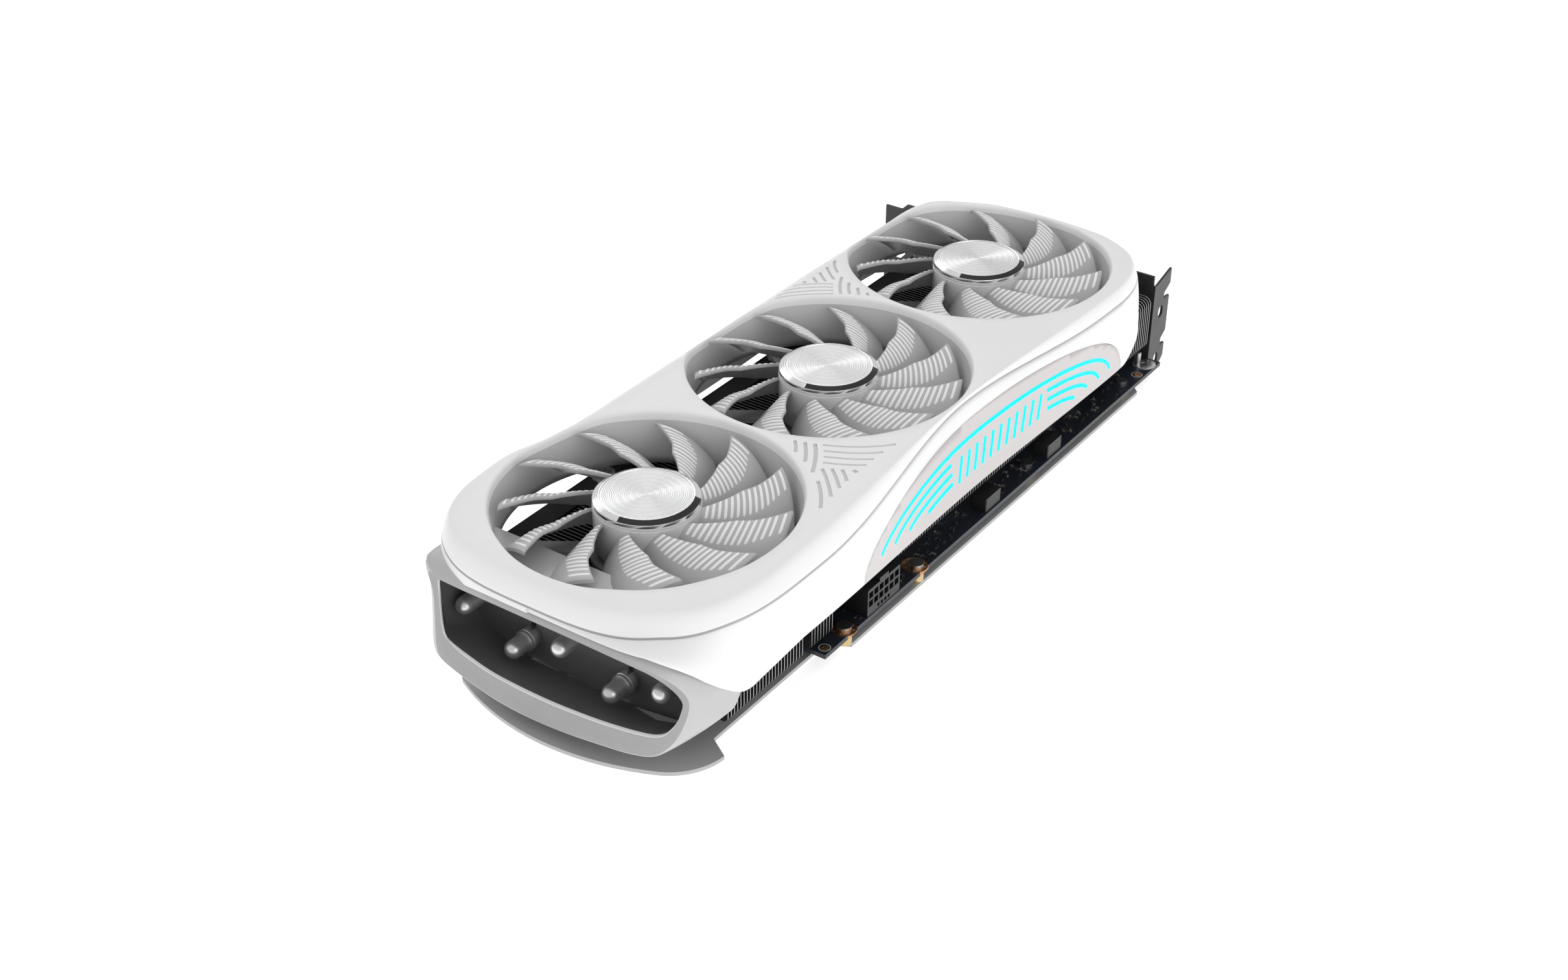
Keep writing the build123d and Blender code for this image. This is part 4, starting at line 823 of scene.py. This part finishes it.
def ridge(r, start, end, width, height=0.22):
    """A raised rib on the blade along one radius, from start to end of the chord."""
    loops = []
    for u in (0.0, 0.04, 0.1, *np.linspace(0.2, 0.8, 5), 0.9, 0.96, 1.0):
        from_end = min(u, 1 - u)
        taper = math.sqrt(1 - (1 - from_end / RIDGE_ROUND) ** 2) if from_end < RIDGE_ROUND else 1.0
        half = width / 2 * max(taper, 0.25)
        c = start + (end - start) * u
        loops.append([blade_point(r - half, c, -0.3), blade_point(r - half, c, height * 0.5),
                      blade_point(r - half * 0.55, c, height), blade_point(r + half * 0.55, c, height),
                      blade_point(r + half, c, height * 0.5), blade_point(r + half, c, -0.3)])
    return loops


ridge_sets = []
for k in range(13):
    r = 18.4 + k * 1.82
    end = 0.40 + 0.16 * math.sin(math.pi * (k + 1) / 14)
    ridge_sets.append(ridge(r, 0.03, end, 0.85))
ridge_sets.append(ridge(42.6, 0.04, 0.42, 0.9))

for b in range(BLADES):
    turn = math.radians(FIRST_TIP - b * 360 / BLADES)
    c, s = math.cos(turn), math.sin(turn)
    spin = np.array([[c, s, 0], [-s, c, 0], [0, 0, 1]])
    rotor.tube([[tuple(p @ spin) for p in loop] for loop in blade_loops])
    for loops in ridge_sets:
        # the ribs take material 1, the near white of painted highlight
        rotor.tube([[tuple(p @ spin) for p in loop] for loop in loops], 1)

HUB = [
    (14.8, 39.5), (15.9, 39.5), (16.15, 39.9), (16.6, 48), (16.6, 54.4), (16.45, 54.55), (16.2, 54.6),
    (16.2, 54.9), (16.45, 54.95), (16.6, 55.1), (16.55, 55.6), (16.3, 55.75), (2.0, 55.75), (2.0, 53.6),
    (14.8, 53.6), (14.8, 39.5),
]
rotor.turned(HUB, segments=96, kind=2)

cap = Shape()
rings = [(0.02, 57.5), (0.35, 57.5)]
ring_pitch = 0.56
for k in range(24):
    r = 0.5 + k * ring_pitch
    rings += [(r, 57.42), (r + ring_pitch * 0.28, 57.5), (r + ring_pitch * 0.72, 57.5)]
rings += [(14.05, 57.42), (14.15, 57.42), (14.25, 57.62)]
cap.turned(rings, segments=96)
cap.turned([(14.25, 57.62), (14.45, 57.7), (14.6, 57.7)], segments=96, kind=1)
CHAMFER_ROW = [(14.6, 57.7), (16.4, 56.8)]
EDGE_ROWS = [(16.4, 56.8), (16.5, 56.5), (16.5, 55.7), (0.02, 55.7), (0.02, 57.5)]
# the chamfer between these angles is painted near black, a painted reflection
REFLECTION_START, REFLECTION_END = -174.0, -61.0
angles = np.radians(np.linspace(-180, 180, 145))
for a0, a1 in zip(angles[:-1], angles[1:]):
    middle = math.degrees((a0 + a1) / 2)
    dark = REFLECTION_START < middle < REFLECTION_END
    quad = [(r * math.cos(a), r * math.sin(a), z) for (r, z), a in
            ((CHAMFER_ROW[0], a0), (CHAMFER_ROW[0], a1), (CHAMFER_ROW[1], a1), (CHAMFER_ROW[1], a0))]
    cap.add(quad, [(0, 1, 2, 3)], 2 if dark else 1)
cap.turned(EDGE_ROWS, segments=144, kind=1)

rotor_source = cap_source = None
for fan, x in FANS.items():
    place = (x, FAN_Y, 0)
    if rotor_source is None:
        rotor_source = piece(f"{fan}-blades", rotor, [MATERIALS["fan_grey"], RIDGE_HIGHLIGHT, HUB_WHITE], fan,
                             [f"{fan}_rotor"], angle=38, place=place)
        cap_source = piece(f"{fan}-cap", cap, [MATERIALS["cap_aluminium"], CHAMFER, CAP_PAINTED_REFLECTION], fan,
                           [f"{fan}_hub_cap"], angle=25, place=place, merge=0.0005)
    else:
        copy_piece(f"{fan}-blades", rotor_source, fan, place, [f"{fan}_rotor"])
        copy_piece(f"{fan}-cap", cap_source, fan, place, [f"{fan}_hub_cap"])

# -------------------- fins
FIN_PITCH, FIN_THICK = 1.6, 0.4
FIN_SIDE_Y, FIN_FAR_Y, FIN_TOP_Z = -55.3, 37.7, 35.4
FIN_STEP_X = -71.5
CONNECTOR_ROOM = (-62.5, -34.7)


def fin_outline(x):
    bottom = 7.9 if x < FIN_STEP_X else 14.4
    def corner(cy, cz, r, a0, a1, n=6):
        return [(cy + r * math.cos(a), cz + r * math.sin(a)) for a in np.radians(np.linspace(a0, a1, n))]
    r = 3.0
    loop = [(FIN_FAR_Y, bottom)]
    loop += corner(FIN_FAR_Y - r, FIN_TOP_Z - r, r, 0, 90)
    loop += corner(FIN_SIDE_Y + r, FIN_TOP_Z - r, r, 90, 180)
    if CONNECTOR_ROOM[0] < x < CONNECTOR_ROOM[1]:
        loop += corner(FIN_SIDE_Y + 1.5, 21.3, 1.5, 180, 270, 4)
        loop += [(-43.0, 19.8), (-41.5, 18.3), (-41.5, bottom)]
    else:
        loop += corner(FIN_SIDE_Y + 2.0, bottom + 2.0, 2.0, 180, 270, 5)
    return loop


for part_name, start, end, node in (("fins-tail", -127.5, -88.0, "fin_stack_tail"),
                                    ("fins-main", -84.0, 140.6, "fin_stack_main")):
    fins = Shape()
    x = start
    while x <= end:
        loop = fin_outline(x)
        n = len(loop)
        a = [(x, y, z) for y, z in loop]
        b = [(x + FIN_THICK, y, z) for y, z in loop]
        fins.add(a + b, [tuple(range(n))[::-1], tuple(range(n, 2 * n))], 0)
        fins.add(a + b, [(i, (i + 1) % n, n + (i + 1) % n, n + i) for i in range(n)], 1)
        x += FIN_PITCH
    piece(part_name, fins, [MATERIALS["fin_dark"], FIN_EDGE], replaces=[node])

# -------------------- end frame
END_OUTER = [
    (30.0, 44.6), (-8, 44.8), (-35, 44.6), (-46.9, 43.6), (-51.9, 42.0), (-56.0, 39.6), (-58.4, 36.4),
    (-59.6, 32.7), (-59.5, 29.4), (-58.5, 24.6), (-56.7, 19.4), (-54.3, 15.6), (-50.1, 12.0), (-43, 10.3),
    (-35, 9.2), (-28.5, 8.3), (-20, 7.2), (-9, 6.4), (0, 6.4), (7.5, 7.0), (14, 8.2), (20, 9.6),
    (25.6, 11.0), (30.0, 12.2), (32.0, 13.8), (32.4, 17), (31.6, 25), (30.9, 34), (31.2, 39.0), (32.4, 42.4),
    (32.2, 44.0),
]
END_INNER = [
    (27.2, 42.6), (-8, 42.9), (-35, 42.6), (-47.4, 41.6), (-52.4, 39.7), (-55.6, 37.0), (-57.4, 34.4),
    (-57.9, 31.8), (-57.4, 28.6), (-56.6, 25.8), (-55.2, 23.2), (-53.2, 20.9), (-50.4, 19.8), (-45, 19.2),
    (-38.0, 18.4), (-32.1, 17.7), (-22, 16.8), (-13.1, 16.3), (-2, 16.3), (9.7, 17.1), (19.7, 19.3),
    (25.2, 20.8), (27.4, 22.0), (28.2, 25), (28.4, 30.7), (28.2, 37), (28.0, 41.8),
]


def closed_curve(points, count):
    """A smooth closed curve through 2-D points."""
    p = np.asarray(points, float)
    n = len(p)
    out = []
    for i in range(n):
        p0, p1, p2, p3 = p[i - 1], p[i], p[(i + 1) % n], p[(i + 2) % n]
        d1 = max(np.linalg.norm(p2 - p1), 1e-6)
        m1 = (p2 - p0) / (np.linalg.norm(p2 - p1) + np.linalg.norm(p1 - p0)) * d1
        m2 = (p3 - p1) / (np.linalg.norm(p3 - p2) + np.linalg.norm(p2 - p1)) * d1
        for t in np.linspace(0, 1, count, endpoint=False):
            out.append((2 * t**3 - 3 * t**2 + 1) * p1 + (t**3 - 2 * t**2 + t) * m1
                       + (-2 * t**3 + 3 * t**2) * p2 + (t**3 - t**2) * m2)
    return np.array(out)


def end_x(y, reach, half, power=6.0):
    """How far out the bowed tail face stands at a given y."""
    side = np.abs(np.asarray(y) - FAN_Y) / half
    return TAIL_FAN_X - reach * (1 - np.clip(side, 0, 0.9999) ** power) ** (1 / power)


def even_loop(points, count=200):
    curve = closed_curve(points, 9)
    return evenly(np.concatenate([curve, curve[:1]]), count + 1)[:-1]


END_REACH, END_HALF = 55.1, 56.6


def end_row(curve, back, share=0.0, other=None):
    """The curve laid on the bowed tail face, set back from it and moved a share of the way to another."""
    y, z = curve[:, 0], curve[:, 1]
    if other is not None:
        y, z = y + (other[:, 0] - y) * share, z + (other[:, 1] - z) * share
    return np.column_stack([end_x(y, END_REACH, END_HALF) + back, y, z])


CHEEK_X, CHEEK_FLARE, TOP_LIFT, FLOOR_END_X = -131.5, 4.2, 2.6, -137.4
FAR_FLARE, RECESS_FLARE = 3.7, 6.0
# how far back, the share of the way to the inner curve, and the share of the flare
FRAME_ROWS = [(27.0, 0.0, 1.0), (18.0, 0.0, 0.95), (12.0, 0.0, 0.8), (7.0, 0.0, 0.58), (4.0, 0.0, 0.4),
              (2.0, 0.0, 0.24), (0.7, 0.0, 0.1), (0.2, 0.02, 0.02), (0.0, 0.07, 0.0)]
outer, inner = even_loop(END_OUTER), even_loop(END_INNER)
end = Shape()
rows = []
for x_back, share, out in FRAME_ROWS:
    row = end_row(outer, x_back, share, inner)
    row[:, 1] = np.maximum(row[:, 1] - CHEEK_FLARE * out * np.clip((-42 - row[:, 1]) / 14, 0, 1), -64.2)
    row[:, 1] += FAR_FLARE * min(1.0, out * 3) * np.clip((row[:, 1] - 20) / 8, 0, 1)
    row[:, 2] += TOP_LIFT * min(1.0, out * 2) * np.clip((row[:, 2] - 36) / 6, 0, 1)
    row[:, 0] = np.minimum(row[:, 0], np.interp(row[:, 2], (10.5, 14.0), (FLOOR_END_X, CHEEK_X)))
    rows.append(row)
# outer skin, front face and inner lip: one grey paint in lit and shaded copies
end.grid(rows, 3, closed=True)
for steps, kind in ((((0.0, 0.07), (0.15, 0.4), (0.3, 0.7), (0.35, 0.9)), 0),
                    (((0.35, 0.9), (0.45, 0.95), (0.9, 1.0)), 2)):
    end.grid([end_row(outer, back, share, inner) for back, share in steps], kind, closed=True)
BACK_X, FLOOR_BACK_Z = -136.0, 7.6
front = end_row(inner, 0.9)
rows = [front]
for share in (0.1, 0.3, 0.55, 0.8, 0.94, 1.0):
    row = front.copy()
    row[:, 0] = np.maximum(front[:, 0], front[:, 0] + (BACK_X - front[:, 0]) * share)
    row[:, 1] += RECESS_FLARE * min(1.0, share * 4) * np.clip((front[:, 1] - 18) / 9, 0, 1)
    low = np.clip((23.5 - front[:, 2]) / 5, 0, 1)
    row[:, 2] = front[:, 2] - (front[:, 2] - FLOOR_BACK_Z) * low * share
    rows.append(row)
# the recess walls and back wall take the dark grey of painted shade
end.grid(rows[:-1], 1, closed=True)
SLITS = ((-26.0, -16.5), (-14.0, -2.0), (1.5, 12.0))
count = len(inner)
for i in range(count):
    quad = [rows[-2][i], rows[-2][(i + 1) % count], rows[-1][(i + 1) % count], rows[-1][i]]
    y, z = (quad[0][1] + quad[1][1]) / 2, max(p[2] for p in quad)
    if not (z < 14 and any(low < y < high for low, high in SLITS)):
        end.add(quad, [(0, 1, 2, 3)], 1)
end.fan(rows[-1], 1)
# two keyholes: thin black sheets on the back wall as painted shadow, no hole is cut
for y in (-26.55, 10.95):
    arc = [(y + 0.95 * math.cos(a), 23.6 + 0.95 * math.sin(a)) for a in np.radians(np.linspace(0, 180, 9))]
    hole = [(y + 0.95, 18.0), *arc, (y - 0.95, 18.0)]
    end.tube([[(BACK_X + d, a, b) for a, b in hole] for d in (0.0, -0.06)], 4)
piece("end-frame", end, [MATERIALS["end_metal"], END_INSIDE_SHADE, END_LIP_HIGHLIGHT, END_SKIN_LIT, KEYHOLE_SHADOW],
      replaces=["end_frame"], angle=38)

# each pipe's (y, z), then the rings round it as (x, radius)
PIPES = [(-45.3, 25.9), (-26.55, 17.4), (-7.8, 25.9), (10.95, 17.4), (29.7, 25.9)]
around = np.linspace(0, 2 * math.pi, 40)[:-1]
collars = Shape()
LOW_COLLAR = [(-135.9, 3.3), (-138.9, 3.3), (-139.0, 3.55), (-139.8, 3.55), (-139.9, 3.35), (-140.4, 3.35),
              (-140.5, 3.5), (-141.1, 3.45), (-141.2, 3.12)]
HIGH_COLLAR = [(-135.9, 3.7), (-136.5, 3.7), (-136.7, 3.5), (-137.3, 3.45), (-137.4, 3.12)]
for y, z in PIPES:
    collars.grid([[(x, y + r * math.cos(a), z + r * math.sin(a)) for a in around]
                  for x, r in (LOW_COLLAR if z < 20 else HIGH_COLLAR)], 0, closed=True)
piece("pipe-collars", collars, [MATERIALS["pipe_nickel"]], solid=0.08)

# -------------------- board details
BOARD_TOP = 6.6
WASHER_X, WASHER_Y = 141.3, -54.7
COPPER_KIND, PRINT_KIND, TIN_KIND = 0, 1, 2
details = Shape()


def plating(profile, x, y, segments, kind):
    """A turned profile of (radius, height over the board)."""
    details.turned([(r, BOARD_TOP + up) for r, up in profile], x, y, segments, kind)


def dots(profile, x, y, segments, count, reach, first_angle):
    """A ring of small tinned dots."""
    for k in range(count):
        a = k * 2 * math.pi / count + first_angle
        plating(profile, x + reach * math.cos(a), y + reach * math.sin(a), segments, TIN_KIND)


for x, y in ((-66.9, -57.1), (-24.3, -56.8)):
    plating([(1.2, 0.02), (2.1, 0.06), (4.3, 0.06), (4.45, 0)], x, y + 1.4, 40, COPPER_KIND)
    details.block(x - 2.6, x + 2.6, -59.13, -58.9, 5.0, BOARD_TOP + 0.03, COPPER_KIND)
for x, y, r in ((-78.8, -56.7, 1.2), (132.2, -56.3, 1.3)):
    plating([(0.35, 0.01), (0.4, 0.05), (r, 0.05), (r + 0.1, 0)], x, y, 32, COPPER_KIND)
    plating([(r + 0.5, 0.03), (r + 0.7, 0.04), (r + 0.8, 0)], x, y, 32, PRINT_KIND)
plating([(1.1, 0.02), (1.2, 0.12), (4.2, 0.12), (4.4, 0)], WASHER_X, WASHER_Y, 48, TIN_KIND)
dots([(0.02, 0.2), (0.28, 0.18), (0.4, 0.12)], WASHER_X, WASHER_Y, 12, 9, 2.9, 0.0)
for x, y in ((-66.9, -55.7), (-24.3, -55.4)):
    dots([(0.02, 0.16), (0.24, 0.14), (0.34, 0.06)], x, y, 10, 8, 3.4, 0.3)
piece("board-plating", details, [COPPER, PRINT, TIN], angle=40)

small = Shape()
# stretches of board as (x0, x1, y0, y1) and how many small parts lie in each
ZONES = [
    (-78, -70, -54, -47, 6), (-60, -58.5, -57, -50, 4), (-38.5, -27, -57, -50, 9), (-20, 14, -57.5, -50, 26),
    (27, 57, -57.5, -50, 22), (70, 128, -57.5, -50, 40), (-76, 140, 38, 43, 60),
]
for x0, x1, y0, y1, count in ZONES:
    for _ in range(count):
        x, y = random.uniform(x0, x1), random.uniform(y0, y1)
        turned = random.random() < 0.5
        a, b = (0.28, 0.5) if turned else (0.5, 0.28)
        h = random.choice((0.35, 0.5, 0.6))
        small.block(x - a, x + a, y - b, y + b, BOARD_TOP, BOARD_TOP + h, random.choice((0, 0, 1)), 0.05)
        if turned:
            ends = (x - a, x + a, y - b - 0.16, y - b), (x - a, x + a, y + b, y + b + 0.16)
        else:
            ends = (x - a - 0.16, x - a, y - b, y + b), (x + a, x + a + 0.16, y - b, y + b)
        for ax, bx, ay, by in ends:
            small.block(ax, bx, ay, by, BOARD_TOP, BOARD_TOP + h * 0.8, 2)
        if random.random() < 0.4:
            small.block(x - 0.9, x + 0.9, y + 0.85, y + 0.97, BOARD_TOP, BOARD_TOP + 0.02, 3)
piece("board-parts", small, [MATERIALS["chip_black"], PART_TAN, TIN, PRINT])

# -------------------- stage, lights, camera
floor_mesh = bpy.data.meshes.new("floor")
floor_mesh.from_pydata([(-6, -6, 0), (6, -6, 0), (6, 6, 0), (-6, 6, 0)], [], [(0, 1, 2, 3)])
floor = new_object("floor", floor_mesh)
floor.location = (0, 0, -0.0004)
pale = finish("floor_pale", (0.93, 0.93, 0.93), 0.9, vary=0.006, grain=300, patch=2)
pale_shader = pale.node_tree.nodes["Principled BSDF"]
pale_shader.inputs["Emission Color"].default_value = (1, 1, 1, 1)
pale_shader.inputs["Emission Strength"].default_value = 0.65
floor_mesh.materials.append(pale)

world = bpy.data.worlds.new("studio")
world.use_nodes = True
background = world.node_tree.nodes["Background"]
background.inputs["Color"].default_value = (1, 1, 1, 1)
background.inputs["Strength"].default_value = 0.68
scene.world = world
scene.view_settings.view_transform = "Standard"


def softbox(name, place, size, power):
    """A rectangular lamp that faces the origin."""
    light = bpy.data.lights.new(name, "AREA")
    light.shape = "RECTANGLE"
    light.size, light.size_y = size
    light.energy = power
    obj = new_object(name, light)
    obj.location = place
    obj.rotation_euler = (-Vector(place)).to_track_quat("-Z", "Y").to_euler()


softbox("key", (-0.4, -1.2, 0.55), (1.2, 0.8), 3.3)
softbox("back", (0.6, 0.9, 0.8), (1.2, 0.5), 2.0)
softbox("top", (-0.2, -0.1, 1.3), (1.2, 1.2), 1.5)

camera_data = bpy.data.cameras.new("camera")
camera_data.lens, camera_data.sensor_width = 49.39, 36.0
camera_data.clip_start, camera_data.clip_end = 0.01, 50.0
camera = new_object("camera", camera_data)
CAMERA_PLACE = (-0.52616, -0.35157, 0.40434)
RIGHT, UP, FORWARD = (0.57306, -0.81949, 0.00542), (0.43666, 0.31093, 0.84418), (0.69349, 0.48140, -0.53602)
facing = Matrix((RIGHT, UP, [-c for c in FORWARD])).transposed()
camera.matrix_world = Matrix.Translation(CAMERA_PLACE) @ facing.to_4x4()
bpy.context.scene.camera = camera
